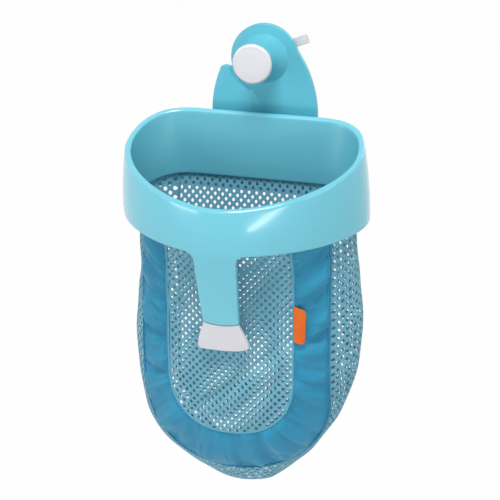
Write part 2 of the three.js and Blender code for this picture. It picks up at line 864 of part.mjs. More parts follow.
function bagGusset() {
  const front = frontPrism(panelShape, clearance / 2);
  const back = backPrism(backShape, clearance / 2);
  return clothLayer.subtract(front).subtract(back);
}

function stripOver(prism, shape, width) {
  return trimLayer.intersect(prism(shape, width / 2)).subtract(prism(shape, -width / 2));
}

function bagHem() {
  const inner = grown(ledge, rimWall + clearance);
  const outer = grown(inner, hemCloth);
  const low = raised(ledgePlane, -hemTuck);
  const high = raised(ledgePlane, hemRise);
  const at = (outline, plane) => ring(outline, plane, ringSides);
  return solid(loft([at(inner, low), at(outer, low), at(outer, high), at(inner, high)]));
}

function labelTab() {
  const left = windowShape.half + windowBinding / 2 + clearance;
  const block = slabBox(left, left + labelWidth, labelTop - labelLength, labelTop, -frontLimit, frontReach);
  return bagLayer(clearance + labelDepth, clearance).intersect(block);
}

// The object
const organizer = new THREE.Group();

function addTo(group, name, body, material) {
  const part = new THREE.Mesh(geometryOf(body), material);
  part.name = name;
  group.add(part);
}

const bracket = new THREE.Group();
addTo(bracket, "bracket_plate", bracketPlate(), bracketBlue);
addTo(bracket, "suction_cup", suctionCup(), clearVinyl);
addTo(bracket, "cup_stud", cupStud(), steel);
addTo(bracket, "thrust_washer", thrustWasher(), white);
addTo(bracket, "lock_knob", lockKnob(), white);
addTo(bracket, "knob_insert", knobInsert(), brass);
addTo(bracket, "knob_cap", knobCap(), white);

const scoop = new THREE.Group();
addTo(scoop, "scoop_rim", scoopRim(), turquoise);
addTo(scoop, "handle_tip", handleTip(), white);
addTo(scoop, "bag_ring", bagRing(), white);
screwPlaces().forEach((place, i) => addTo(scoop, "ring_screw_" + (i + 1), ringScrew(place), steel));

const bag = new THREE.Group();
addTo(bag, "bag_hem", bagHem(), woven);
addTo(bag, "bag_front_mesh", bagFrontMesh(), mesh);
addTo(bag, "bag_front_panel", bagFrontPanel(), woven);
addTo(bag, "bag_gusset", bagGusset(), mesh);
addTo(bag, "bag_back_panel", bagBackPanel(), mesh);
addTo(bag, "window_binding", stripOver(frontPrism, windowShape, windowBinding), binding);
addTo(bag, "front_seam_binding", stripOver(frontPrism, panelShape, seamBinding), woven);
addTo(bag, "back_seam_binding", stripOver(backPrism, backShape, seamBinding), woven);
addTo(bag, "label_tab", labelTab(), orange);

scoop.add(bag);
organizer.add(bracket, scoop);
export default organizer;
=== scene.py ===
# %% [markdown]
# # A bath toy organizer in Blender
# The real object hangs on a bathroom wall: a suction bracket with a white knob, a glossy turquoise
# scoop rim with a handle, and a bag of mesh and woven nylon. The imported CAD model gives the places
# and sizes. Here each visible piece is modelled again with bmesh operators, or kept and given a
# finish. Every new piece but the suction cup moves with a CAD body, and all but the stitches stand
# for a CAD node.

# %% Load the frame
import json
import math

import bmesh
import bpy
from mathutils import Matrix, Vector, noise
from mathutils.bvhtree import BVHTree

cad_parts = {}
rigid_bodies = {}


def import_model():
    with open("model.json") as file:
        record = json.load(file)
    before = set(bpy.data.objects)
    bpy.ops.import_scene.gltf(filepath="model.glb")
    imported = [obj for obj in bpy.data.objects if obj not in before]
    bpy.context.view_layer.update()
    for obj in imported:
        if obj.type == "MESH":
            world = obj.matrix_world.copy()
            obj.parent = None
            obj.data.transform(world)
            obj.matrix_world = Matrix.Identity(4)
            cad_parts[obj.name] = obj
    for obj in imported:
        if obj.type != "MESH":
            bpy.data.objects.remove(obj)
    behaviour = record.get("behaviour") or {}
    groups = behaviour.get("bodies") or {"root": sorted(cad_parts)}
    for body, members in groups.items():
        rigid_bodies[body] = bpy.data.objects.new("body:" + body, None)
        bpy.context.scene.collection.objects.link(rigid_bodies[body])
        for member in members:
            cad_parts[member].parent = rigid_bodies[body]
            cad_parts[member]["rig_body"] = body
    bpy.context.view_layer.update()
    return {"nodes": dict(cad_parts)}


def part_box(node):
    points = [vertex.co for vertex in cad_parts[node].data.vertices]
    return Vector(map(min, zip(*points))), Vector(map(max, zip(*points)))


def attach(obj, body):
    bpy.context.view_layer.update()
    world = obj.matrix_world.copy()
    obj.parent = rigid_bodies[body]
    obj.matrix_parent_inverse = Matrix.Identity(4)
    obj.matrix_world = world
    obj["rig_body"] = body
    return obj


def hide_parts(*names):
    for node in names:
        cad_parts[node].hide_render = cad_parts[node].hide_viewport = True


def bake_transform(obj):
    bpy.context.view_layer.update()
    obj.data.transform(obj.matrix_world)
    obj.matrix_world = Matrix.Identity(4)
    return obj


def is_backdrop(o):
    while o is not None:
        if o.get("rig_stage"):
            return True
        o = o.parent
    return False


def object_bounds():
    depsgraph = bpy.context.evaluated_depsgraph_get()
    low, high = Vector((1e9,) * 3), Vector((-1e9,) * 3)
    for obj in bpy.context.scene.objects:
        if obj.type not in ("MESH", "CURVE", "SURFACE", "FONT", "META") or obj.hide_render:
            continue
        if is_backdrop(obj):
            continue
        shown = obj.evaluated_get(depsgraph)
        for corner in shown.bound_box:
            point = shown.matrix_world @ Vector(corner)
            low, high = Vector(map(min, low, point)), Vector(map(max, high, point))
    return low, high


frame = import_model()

MM = 0.001

# %% [markdown]
# ## Camera and studio
# The photograph looks down at the object by about 21 degrees and from its right by about 16. A long
# lens flattens the depth, so the camera stands 1.5 m away. The floor is a plain sheet that the lens
# sees as almost white. The lamps are five soft panels: a main one high in front, weaker ones from
# the left, the right and behind, and a narrow one low in front, whose reflection draws the streak
# on the band.

# %% Camera
AIM = Vector((12.6, -110, -179.5)) * MM
TURN, RISE = math.radians(16.36), math.radians(20.72)
DISTANCE, FOCAL_LENGTH, SENSOR = 1.5318, 109.0, 36
AWAY = Vector((math.sin(TURN) * math.cos(RISE), -math.cos(TURN) * math.cos(RISE), math.sin(RISE)))
camera_data = bpy.data.cameras.new("camera")
camera_data.lens, camera_data.sensor_width = FOCAL_LENGTH, SENSOR
camera = bpy.data.objects.new("camera", camera_data)
camera.location = AIM + AWAY * DISTANCE
camera.rotation_euler = (-AWAY).to_track_quat("-Z", "Y").to_euler()
bpy.context.scene.collection.objects.link(camera)
bpy.context.scene.camera = camera
bpy.context.scene.view_settings.view_transform = "Standard"
print("camera at", [round(v, 3) for v in camera.location])


# %% Tools for finishes
def linear(code):
    """A colour as the shader wants it, from the six digits that a picture editor shows"""
    parts = [int(code[i:i + 2], 16) / 255 for i in (0, 2, 4)]
    return (*[p / 12.92 if p < 0.04045 else ((p + 0.055) / 1.055) ** 2.4 for p in parts], 1)


def new_finish(name, colour, roughness, **more):
    """A material whose shader has these values on its own sockets"""
    material = bpy.data.materials.new(name)
    material.use_nodes = True
    shader = material.node_tree.nodes["Principled BSDF"]
    shader.inputs["Base Color"].default_value = linear(colour)
    shader.inputs["Roughness"].default_value = roughness
    for socket, value in more.items():
        shader.inputs[socket.replace("_", " ")].default_value = value
    return material


def add_node(material, kind, inputs=None, **settings):
    """A node with its settings, and each input either a value or another node's output"""
    made = material.node_tree.nodes.new(kind)
    for key, value in settings.items():
        setattr(made, key, value)
    for key, value in (inputs or {}).items():
        if isinstance(value, bpy.types.NodeSocket):
            material.node_tree.links.new(value, made.inputs[key])
        else:
            made.inputs[key].default_value = value
    return made


def feed(material, socket, output):
    """Links a node's output to a socket of the material's shader"""
    shader = material.node_tree.nodes["Principled BSDF"]
    material.node_tree.links.new(output, shader.inputs[socket])


def place_on(material, source="Object"):
    """Where on the piece a point lies: in the object's space or on its UV map"""
    return add_node(material, "ShaderNodeTexCoord").outputs[source]


def speckle(material, scale, detail=2.0, source="Object"):
    """Soft noise in the object's own space; scale is in waves per metre"""
    inputs = {"Vector": place_on(material, source), "Scale": scale, "Detail": detail}
    return add_node(material, "ShaderNodeTexNoise", inputs).outputs["Fac"]


def tones(material, factor, dark, light, low=0.3, high=0.7):
    """Two tones of the finish's colour, mixed by a factor"""
    ramp = add_node(material, "ShaderNodeValToRGB", {"Fac": factor})
    for stop, place, code in zip(ramp.color_ramp.elements, (low, high), (dark, light)):
        stop.position, stop.color = place, linear(code)
    return ramp.outputs["Color"]


def spread(material, factor, low, high):
    """A factor of 0 to 1 turned into a range of roughness"""
    inputs = {"Value": factor, "To Min": low, "To Max": high}
    return add_node(material, "ShaderNodeMapRange", inputs).outputs["Result"]


def relief(material, height, distance):
    """A bump whose full height is a distance in metres"""
    inputs = {"Height": height, "Distance": distance, "Strength": 1.0}
    feed(material, "Normal", add_node(material, "ShaderNodeBump", inputs).outputs["Normal"])


# %% Floor and sky that the lens sees as white
FLOOR_Z, FLOOR_HALF = -0.80, 12
FLOOR_GLOW, SKY_GLOW, SKY_STRENGTH = 0.98, 1.0, 0.33


def white_to_the_lens(owner, surface, share, output):
    """Mixes white light into what the lens, mirrors and glass see of a floor or a sky"""
    path = add_node(owner, "ShaderNodeLightPath").outputs
    rays = {0: path["Is Glossy Ray"], 1: path["Is Transmission Ray"]}
    mirror = add_node(owner, "ShaderNodeMath", rays, operation="MAXIMUM")
    rays = {0: path["Is Camera Ray"], 1: mirror.outputs[0]}
    seen = add_node(owner, "ShaderNodeMath", rays, operation="MAXIMUM")
    scaled = add_node(owner, "ShaderNodeMath", {0: seen.outputs[0], 1: share}, operation="MULTIPLY")
    kind = "ShaderNodeBackground" if surface.name == "Background" else "ShaderNodeEmission"
    glow = add_node(owner, kind, {"Color": (1, 1, 1, 1)})
    parts = {0: scaled.outputs[0], 1: surface.outputs[0], 2: glow.outputs[0]}
    mix = add_node(owner, "ShaderNodeMixShader", parts)
    owner.node_tree.links.new(mix.outputs[0], owner.node_tree.nodes[output].inputs["Surface"])


floor_mesh = bmesh.new()
bmesh.ops.create_grid(floor_mesh, x_segments=1, y_segments=1, size=FLOOR_HALF)
bmesh.ops.translate(floor_mesh, vec=Vector((0, 0, FLOOR_Z)), verts=floor_mesh.verts)
floor_data = bpy.data.meshes.new("studio_floor")
floor_mesh.to_mesh(floor_data)
floor_mesh.free()
floor = bpy.data.objects.new("studio_floor", floor_data)
bpy.context.scene.collection.objects.link(floor)
floor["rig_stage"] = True
floor_paint = new_finish("floor_paint", "f2f2f2", 0.9)
floor_shader = floor_paint.node_tree.nodes["Principled BSDF"]
white_to_the_lens(floor_paint, floor_shader, FLOOR_GLOW, "Material Output")
floor_data.materials.append(floor_paint)

sky = bpy.data.worlds.new("studio_sky")
sky.use_nodes = True
sky_shader = sky.node_tree.nodes["Background"]
sky_shader.inputs["Color"].default_value = linear("f4f8fb")
sky_shader.inputs["Strength"].default_value = SKY_STRENGTH
white_to_the_lens(sky, sky_shader, SKY_GLOW, "World Output")
bpy.context.scene.world = sky
print("floor at", FLOOR_Z, "m, sky strength", SKY_STRENGTH)

# %% Lamps
AT_BAG, AT_BAND = Vector((0, -0.1, -0.2)), Vector((0.05, -0.18, -0.12))
LAMPS = {  # place, aim, width, height, watts, and a turn about the beam in degrees
    "main_lamp": ((0.1, -1.0, 1.8), AT_BAG, 0.7, 0.7, 34, 0),
    "left_lamp": ((-1.7, -1.7, 0.2), AT_BAG, 1.0, 1.2, 16, 0),
    "right_lamp": ((1.9, -0.8, 0.6), AT_BAG, 1.0, 1.4, 7, 0),
    "back_lamp": ((1.0, 1.7, 0.8), AT_BAG, 1.0, 1.0, 9, 0),
    "streak_lamp": ((0.94, -1.6, -0.36), AT_BAND, 0.9, 0.13, 4, 25),
}
for name, (place, aim, width, height, watts, turn) in LAMPS.items():
    data = bpy.data.lights.new(name, "AREA")
    data.shape, data.size, data.size_y, data.energy = "RECTANGLE", width, height, watts
    lamp = bpy.data.objects.new(name, data)
    lamp.location = place
    beam = (aim - Vector(place)).to_track_quat("-Z", "Y").to_matrix()
    lamp.rotation_euler = (beam @ Matrix.Rotation(math.radians(turn), 3, "Z")).to_euler()
    bpy.context.scene.collection.objects.link(lamp)
    print(f"{name}: {watts} W, {width} x {height} m")

# %% [markdown]
# ## Finishes of the hard pieces
# Injection moulded plastic is never one flat colour. Its skin has a faint orange peel, its gloss
# drifts from place to place, and handling dulls it a little. Noise in the object's own space gives
# all three: a coarse one shifts tone and roughness, a fine one lifts the surface by microns. The
# band has a clear gloss, while the inner wall and the bracket are satin. The inner wall's colour is
# also darker than the band's: painted shade, for the shade that falls inside the scoop.


# %% Plastic, vinyl and metal
TONE_WAVES, GLOSS_WAVES, PEEL_WAVES = 5.0, 30.0, 420.0


def moulded(name, dark, light, gloss, peel, **more):
    """Tone drifts from dark to light, and the orange peel is as high as peel, in metres"""
    material = new_finish(name, light, gloss, **more)
    tone = tones(material, speckle(material, TONE_WAVES, 0.0), dark, light)
    feed(material, "Base Color", tone)
    drift = speckle(material, GLOSS_WAVES, 1.0)
    feed(material, "Roughness", spread(material, drift, gloss - 0.04, gloss + 0.06))
    relief(material, speckle(material, PEEL_WAVES, 3.0), peel)
    return material


coat = {"Coat_Weight": 0.45, "Coat_Roughness": 0.08}
clear = {"Transmission_Weight": 0.4, "IOR": 1.45}
turquoise_gloss = moulded("turquoise_gloss", "68c0d2", "72cadc", 0.2, 0.00004, **coat)
# The inner wall's satin: its darker tones are painted shade for the inside of the scoop
turquoise_core_painted_shade = moulded("turquoise_core_painted_shade", "5db0c2", "65b9ca", 0.36, 0.00008)
bracket_satin = moulded("bracket_satin", "54b3c7", "5cbbce", 0.34, 0.00008)
white_satin = moulded("white_satin", "d2d1d6", "dbdadf", 0.34, 0.00006)
clear_vinyl = moulded("clear_vinyl", "dfe3e6", "eef1f3", 0.19, 0.0001, **clear)
steel_finish = moulded("steel_finish", "a9adb2", "c3c6ca", 0.34, 0.00003, Metallic=1.0)
brass_finish = moulded("brass_finish", "a88a4c", "c4a565", 0.36, 0.00003, Metallic=1.0)
print("nodes in the band's gloss:", len(turquoise_gloss.node_tree.nodes))


# %% From a bmesh in millimetres to a piece
def piece(bm, name, body, material, smooth_angle=180.0):
    """Turns a finished bmesh into an object at the origin, on its CAD body and material slot"""
    bmesh.ops.scale(bm, vec=Vector((MM, MM, MM)), verts=bm.verts)
    mesh = bpy.data.meshes.new(name)
    bm.to_mesh(mesh)
    bm.free()
    mesh.shade_smooth()
    mesh.set_sharp_from_angle(angle=math.radians(smooth_angle))
    mesh.materials.append(material)
    made = bpy.data.objects.new(name, mesh)
    bpy.context.scene.collection.objects.link(made)
    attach(made, body)
    print(f"{name}: {len(mesh.polygons)} faces")
    return made


def softened(made, levels=1):
    """Catmull-Clark subdivision, the same in the view and in the render"""
    soft = made.modifiers.new("soft", "SUBSURF")
    soft.levels = soft.render_levels = levels
    return made


def walled(made, thickness, outside=-1.0):
    """A cloth's thickness behind the modelled skin, or on both sides of it where outside is 0"""
    wall = made.modifiers.new("wall", "SOLIDIFY")
    wall.thickness = thickness * MM
    wall.offset = outside
    return made


# %% [markdown]
# ## Loops that grow into shells
# A moulded shell is easiest to draw as rows of points: the first row is a circle pushed into shape,
# and each next row is the last one's edges, extruded and moved. Every column of points then runs
# straight down the wall, so that highlights flow without a kink.

# %% Extruding row after row
def start_row(bm, points):
    """A closed row of edges on these points, from a circle"""
    row = bmesh.ops.create_circle(bm, segments=len(points), radius=1.0)["verts"]
    for vert, point in zip(row, points):
        vert.co = point
    return row


def row_edges(row, closed=True):
    """The edges from each vertex of a row to the next"""
    pairs = zip(row, row[1:] + row[:1] if closed else row[1:])
    return [next(e for e in a.link_edges if e.other_vert(a) == b) for a, b in pairs]


def next_row(bm, row, points, closed=True):
    """Extrudes the row's edges, moves the new points and gives them in the same order"""
    made = bmesh.ops.extrude_edge_only(bm, edges=row_edges(row, closed))["geom"]
    fresh = {g for g in made if isinstance(g, bmesh.types.BMVert)}
    below = [next(w for w in (e.other_vert(v) for e in v.link_edges) if w in fresh) for v in row]
    for vert, point in zip(below, points):
        vert.co = point
    return below


def loft(bm, rows, closed=True):
    """Rows of points joined into one skin; gives the rows of its vertices"""
    made = [start_row(bm, rows[0])]
    for points in rows[1:]:
        made.append(next_row(bm, made[-1], points, closed))
    return made


def bevelled(bm, edges, offset, segments=2):
    """Rounds edges off"""
    bmesh.ops.bevel(
        bm, geom=edges, offset=offset, segments=segments, profile=0.5, affect="EDGES", material=-1)


def facing_out(bm):
    """Normals outwards, tested on the volume that the shell encloses"""
    bmesh.ops.recalc_face_normals(bm, faces=bm.faces)
    if bm.calc_volume(signed=True) < 0:
        bmesh.ops.reverse_faces(bm, faces=bm.faces)
    return bm


# %% [markdown]
# ## The scoop rim
# Seen from above, the mouth is a D: straight against the wall, round in front. The rim is one skin
# folded over a lip: it starts at the foot of the inner wall, climbs to the lip, rolls over it and
# runs down the flared band. The handle grows out of the band's lower edge, so here it is made from
# that edge too. A separate handle pushed into the band would show a line where the real one flows.

# %% The D-shaped outlines, in millimetres
WALL_SIDE = -40.0
COLUMNS = {"back": 12, "corner": 14, "front": 30}


def d_shape(*values):
    """Half width, back, corner width and depth, front; roundness in front and behind; shift"""
    keys = ("half", "back", "corner_x", "corner_y", "front", "power", "fullness", "shift")
    return dict(zip(keys, values))


MOUTH = d_shape(116.7, WALL_SIDE, 43.0, 53.7, 94.0, 1.74, 2.3, 0.0)
LEDGE = d_shape(112.7, -43.0, 41.0, 50.7, 87.0, 1.76, 2.0, 0.0)
HEMLINE = d_shape(129.3, -30.0, 47.2, 53.2, 111.5, 1.78, 2.15, 0.0)
TOP_PLANE = {"z": -58.0, "slope": 0.349}
LEDGE_PLANE = {"z": -125.0, "slope": 0.194}
SKIRT_PLANE = {"z": -144.6, "slope": 0.08}


def grown(outline, by):
    """The outline moved outwards all round"""
    wider = {key: outline[key] + by for key in ("half", "back", "corner_x", "corner_y", "front")}
    return {**outline, **wider}


def mixed(a, b, share):
    """An outline or plane part of the way from one to another"""
    return {key: a[key] + (b[key] - a[key]) * share for key in a}


def raised(plane, by):
    """The plane moved up"""
    return {**plane, "z": plane["z"] + by}


def height_at(plane, y):
    """Height of a sloping plane at a depth"""
    return plane["z"] + plane["slope"] * (y - WALL_SIDE)


def half_outline(outline, columns):
    """From the middle of the back round one side to the middle of the front"""
    half, back, corner_x, corner_y, front, power, fullness, _ = outline.values()
    widest, flat = back - corner_y, half - corner_x
    line = [(flat * i / columns["back"], back) for i in range(columns["back"])]
    for i in range(columns["corner"]):
        turn = math.pi / 2 * i / columns["corner"]
        x = flat + corner_x * math.sin(turn) ** (2 / fullness)
        line.append((x, widest + corner_y * math.cos(turn) ** (2 / fullness)))
    for i in range(columns["front"] + 1):
        turn = math.pi / 2 * i / columns["front"]
        x = half * max(math.cos(turn), 0.0) ** (2 / power)
        line.append((x, widest - front * math.sin(turn) ** (2 / power)))
    return line


def d_row(outline, plane, columns=COLUMNS, easing=6):
    """The whole outline on a sloping plane, eased a little so that its arcs join softly"""
    half = half_outline(outline, columns)
    line = [Vector((-x, y, 0)) for x, y in half] + [Vector((x, y, 0)) for x, y in half[-2:0:-1]]
    for _ in range(easing):
        ahead = line[1:] + line[:1]
        line = [(line[i - 1] + line[i] * 2 + ahead[i]) / 4 for i in range(len(line))]
    return [Vector((p.x + outline["shift"], p.y, height_at(plane, p.y))) for p in line]


# %% Rows of the rim, from the inner wall's foot to the band's edge
LIP, LIP_CROWN, LIP_STEPS, WALL = 6.7, 2.4, 7, 2.4
INNER_STEP, INNER_ROWS = 15.6, 8
BAND_BULGE = 1.6
lip_base = raised(TOP_PLANE, -LIP_CROWN)
rim_rows = [d_row(LEDGE, raised(LEDGE_PLANE, rise)) for rise in (0.0, 7.0, INNER_STEP)]
for share in (0.3, 0.65, 0.9, 1.0):
    plane = mixed(raised(LEDGE_PLANE, INNER_STEP), lip_base, share)
    rim_rows.append(d_row(mixed(LEDGE, MOUTH, share), plane))
for step in range(1, LIP_STEPS):
    turn = math.pi * step / LIP_STEPS
    lift = raised(TOP_PLANE, -LIP_CROWN * (1 - math.sin(turn)))
    rim_rows.append(d_row(grown(MOUTH, LIP * (1 - math.cos(turn)) / 2), lift))
for share in (0.0, 0.12, 0.3, 0.5, 0.7, 0.88, 1.0):
    bulge = BAND_BULGE * math.sin(math.pi * share)
    outline = grown(mixed(grown(MOUTH, LIP), HEMLINE, share), bulge)
    rim_rows.append(d_row(outline, mixed(lip_base, SKIRT_PLANE, share)))
rim = bmesh.new()
rim_loops = loft(rim, rim_rows)
inner_wall = {v for loop in rim_loops[:INNER_ROWS] for v in loop}
# The inner wall's faces take the second material, which is painted darker as shade
for face in rim.faces:
    face.material_index = int(all(v in inner_wall for v in face.verts))
print("rim rows:", len(rim_loops), "columns:", len(rim_loops[0]))

# %% [markdown]
# ## The handle, grown out of the band
# Eight columns in the middle of the band's edge are extruded downwards. The two points beside them
# move to the middle of a small arc, which gives the inside corners their moulded radius. The handle
# leans back towards the bag, narrows, and is thicker than the band: the copy of the skin that
# becomes the back wall is set 2.4 mm behind the band and 8 mm behind the handle.

# %% Handle front
FRONT = sum(COLUMNS.values())
ARM_SPAN = 4
ARM_TOP_HALF, ARM_END_HALF, ARM_LENGTH, ARM_SLOPE = 22.0, 18.5, 79.6, 0.275
ARM_CROWN, ARM_DIP, ARM_SAG = 1.3, 1.8, 0.6
FILLET, ARC_MIDDLE = 5.5, 0.29
arm_edge = rim_rows[-1][FRONT]
hem = rim_loops[-1]
for side in (-1, 1):
    corner = hem[FRONT + side * ARM_SPAN].co
    corner.x = side * (ARM_TOP_HALF + ARC_MIDDLE * FILLET)
    corner.z -= ARC_MIDDLE * FILLET
    for step in range(1, ARM_SPAN):
        hem[FRONT + side * step].co.x = side * ARM_TOP_HALF * step / ARM_SPAN
        hem[FRONT + side * step].co.z -= ARM_SAG
root_crown = hem[FRONT + ARM_SPAN].co.y - arm_edge.y


def arm_front(drop):
    """The handle's front at a drop below the band's edge, crowned across its width"""
    share = drop / ARM_LENGTH
    half = ARM_TOP_HALF + (ARM_END_HALF - ARM_TOP_HALF) * share
    crown = root_crown + (ARM_CROWN - root_crown) * min(1.0, share * 2.5)
    across = [step / ARM_SPAN for step in range(-ARM_SPAN, ARM_SPAN + 1)]
    y = arm_edge.y + drop * ARM_SLOPE
    dip = ARM_DIP * max(0.0, (share - 0.8) / 0.2)
    z = arm_edge.z - drop
    return [Vector((half * a, y + crown * a * a, z - dip * (1 - a * a))) for a in across]


arm_row = hem[FRONT - ARM_SPAN:FRONT + ARM_SPAN + 1]
arm_drops = (FILLET, 11.0, 18.0, 28.0, 40.0, 52.0, 64.0, 74.0, 78.6, ARM_LENGTH)
arm_loops = []
for drop in arm_drops:
    arm_row = next_row(rim, arm_row, arm_front(drop), closed=False)
    arm_loops.append(arm_row)
print("handle length:", round(arm_edge.z - arm_row[0].co.z, 1), "mm")

# %% Back wall of rim and handle
ARM_DEPTH = 8.0
DEPTHS = [(-8.0, WALL), (-1.2, 4.0), (2.4, 5.2), (7.0, 6.4), (16.0, ARM_DEPTH)]
ROOT_DEPTHS, ROOT_WALL = (4.4, 4.0, 3.0), 2.6


def depth_at(drop):
    """How thick the handle is at a drop below the band's edge"""
    for (low, thin), (high, thick) in zip(DEPTHS, DEPTHS[1:]):
        if drop < high:
            return thin + (thick - thin) * max(0.0, (drop - low) / (high - low))
    return ARM_DEPTH


bmesh.ops.recalc_face_normals(rim, faces=rim.faces)
rim.normal_update()
if hem[FRONT].normal.y > 0:
    bmesh.ops.reverse_faces(rim, faces=rim.faces)
    rim.normal_update()
behind = {v: v.co - v.normal * WALL for v in rim.verts}
for loop in arm_loops:
    back_y = loop[len(loop) // 2].co.y + depth_at(arm_edge.z - loop[0].co.z)
    for vert in loop:
        behind[vert] = Vector((vert.co.x, back_y, vert.co.z))
for step in range(-ARM_SPAN - 1, ARM_SPAN + 2):
    vert = hem[FRONT + step]
    depth = ROOT_DEPTHS[max(0, abs(step) - ARM_SPAN + 1)]
    depth = max(depth, vert.co.y - arm_edge.y + ROOT_WALL)
    behind[vert] = Vector((vert.co.x, arm_edge.y + depth, vert.co.z))
foot_edges = row_edges(rim_loops[0])
hem_edges = [e for e in rim.edges if e.is_boundary and e not in set(foot_edges)]
copied = bmesh.ops.duplicate(rim, geom=rim.verts[:] + rim.edges[:] + rim.faces[:])
twin, twin_edge = copied["vert_map"], copied["edge_map"]
for vert, place in behind.items():
    twin[vert].co = place
twin_faces = [g for g in copied["geom"] if isinstance(g, bmesh.types.BMFace)]
bmesh.ops.reverse_faces(rim, faces=twin_faces)
rounded = []
for border in (foot_edges, hem_edges):
    both = border + [twin_edge[e] for e in border]
    bmesh.ops.bridge_loops(rim, edges=both)
    rounded += both
bevelled(rim, rounded, 0.8)
facing_out(rim)
open_edges = sum(e.is_boundary for e in rim.edges)
print("rim volume:", round(rim.calc_volume() / 1000, 1), "cm3, open edges:", open_edges)


# %% Blocks and posts
def add_block(bm, low, high, edge):
    """A rounded block between two corners"""
    size = Vector(high) - Vector(low)
    block = bmesh.ops.create_cube(bm, size=1.0)["verts"]
    bmesh.ops.scale(bm, vec=size, verts=block)
    bmesh.ops.translate(bm, vec=(Vector(low) + Vector(high)) / 2, verts=block)
    bevelled(bm, list({e for v in block for e in v.link_edges}), edge)


def add_post(bm, centre, radius, low, high, edge):
    """An upright round post whose two rims are bevelled"""
    post = bmesh.ops.create_cone(
        bm, cap_ends=True, segments=16, radius1=radius, radius2=radius, depth=high - low)["verts"]
    middle = Vector((centre[0], centre[1], (low + high) / 2))
    bmesh.ops.translate(bm, vec=middle, verts=post)
    edges = {e for v in post for e in v.link_edges}
    caps = [e for e in edges if len({round(w.co.z, 3) for w in e.verts}) == 1]
    bevelled(bm, caps, edge, 1)


# %% Hanger, screw bosses and spigot
HANGER_SHELF = (-27.7, -34.4, -98.7), (27.7, -15.9, -94.7)
HANGER_FLANGE = (-27.7, -19.5, -128.7), (27.7, -15.9, -94.7)
WEBS, WEB_SIZE, WEB_Y, WEB_Z, WEB_LOW = (-26.1, 0.0, 26.1), (3.2, 14.8, 11.3), -27.0, -89.6, -94.6
SCREW_POST = {"radius": 2.9, "low": 0.9, "high": 16.0, "edge": 0.4}
SCREW_IN_RING = 5.7
SPIGOT_HALF, SPIGOT_REACH, SPIGOT_ROOT, SPIGOT_FRONT, SPIGOT_BACK = 16.3, 14.0, 2, 1.1, 6.9
for corners in (HANGER_SHELF, HANGER_FLANGE):
    add_block(rim, *corners, 0.8)
for middle in WEBS:
    web = bmesh.ops.create_cube(rim, size=1.0)["verts"]
    bmesh.ops.scale(rim, vec=Vector(WEB_SIZE), verts=web)
    bmesh.ops.translate(rim, vec=Vector((middle, WEB_Y, WEB_Z)), verts=web)
    for vert in web:
        if vert.co.y > WEB_Y and vert.co.z > WEB_Z:
            vert.co.z = WEB_LOW
for number in range(1, 9):
    low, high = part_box(f"ring_screw_{number}")
    roof = high.z / MM - SCREW_IN_RING
    span = roof + SCREW_POST["low"], roof + SCREW_POST["high"]
    add_post(rim, (low + high) / 2 / MM, SCREW_POST["radius"], *span, SCREW_POST["edge"])
end_y = arm_front(ARM_LENGTH)[ARM_SPAN].y
arm_end = arm_edge.z - ARM_LENGTH
before_spigot = set(rim.verts)
spigot_low = (-SPIGOT_HALF, end_y + SPIGOT_FRONT, arm_end - SPIGOT_REACH)
spigot_high = (SPIGOT_HALF, end_y + SPIGOT_BACK, arm_end + SPIGOT_ROOT)
add_block(rim, spigot_low, spigot_high, 1.2)
for vert in set(rim.verts) - before_spigot:
    vert.co.y += (arm_end - vert.co.z) * ARM_SLOPE
scoop_shell = piece(rim, "scoop_shell", "scoop", turquoise_gloss, 50)
scoop_shell.data.materials.append(turquoise_core_painted_shade)
softened(scoop_shell)
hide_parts("scoop_rim")

# %% [markdown]
# ## The white grip
# The tip of the handle is a separate white cap that flares like a fish's tail. Its section is a
# rounded bar, so each row is a circle squeezed towards a bar, and the rows widen towards the end.

# %% Handle grip
TIP_LENGTH, TIP_HALF, TIP_DEPTH, TIP_GAP, TIP_DROOP = 32.0, 27.0, 9.5, 0.3, 1.6
SIDE_FULLNESS, FACE_FULLNESS = 0.42, 0.5


def tip_wave(x):
    """How far the grip's lower edge hangs down across its width, from -1 to 1"""
    return 1.9 - 1.9 * x + 0.9 * math.sin(2.6 * x + 0.9)


def bar_row(z, half, depth, low=0.0, count=48):
    """A rounded bar's section at a height; low is 0 at the grip's top and 1 at its bottom"""
    front_y = arm_edge.y + (arm_edge.z - z) * ARM_SLOPE
    row = []
    for i in range(count):
        turn = 2 * math.pi * i / count
        across, along = math.cos(turn), math.sin(turn)
        x = math.copysign(abs(across) ** SIDE_FULLNESS, across)
        y = math.copysign(abs(along) ** FACE_FULLNESS, along)
        dip = ARM_DIP * (1 - low) * (1 - x * x) + low * tip_wave(x)
        row.append(Vector((half * x, front_y + depth / 2 * (1 + y), z - dip)))
    return row


tip_low, tip_top = arm_end - TIP_LENGTH + TIP_DROOP, arm_end - TIP_GAP
tip_rows = []
for drop, narrower, thinner in ((4.0, 2.0, 2.4), (0.0, 2.0, 2.4), (0.0, 0.5, 0.6), (0.5, 0.0, 0.0)):
    tip_rows.append(bar_row(tip_top - drop, ARM_END_HALF - narrower, ARM_DEPTH - thinner))
for share in (0.1, 0.22, 0.36, 0.5, 0.64, 0.78, 0.88):
    flare = math.sin(math.pi / 2 * share) ** 1.25
    half = ARM_END_HALF + (TIP_HALF - ARM_END_HALF) * flare
    depth = ARM_DEPTH + (TIP_DEPTH - ARM_DEPTH) * flare
    tip_rows.append(bar_row(tip_top - (tip_top - tip_low) * share, half, depth, share ** 2))
for rise, narrower in ((1.5, 0.3), (0.5, 1.4), (0.1, 2.6), (0.0, 4.4)):
    tip_rows.append(bar_row(tip_low + rise, TIP_HALF - narrower, TIP_DEPTH - narrower, 1.0))
grip = bmesh.new()
tip_loops = loft(grip, tip_rows)
for loop in (tip_loops[0], tip_loops[-1]):
    bmesh.ops.contextual_create(grip, geom=row_edges(loop))
facing_out(grip)
print("grip volume:", round(grip.calc_volume() / 1000, 2), "cm3")
white_grip = softened(piece(grip, "white_grip", "scoop", white_satin, 60))
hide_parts("handle_tip")

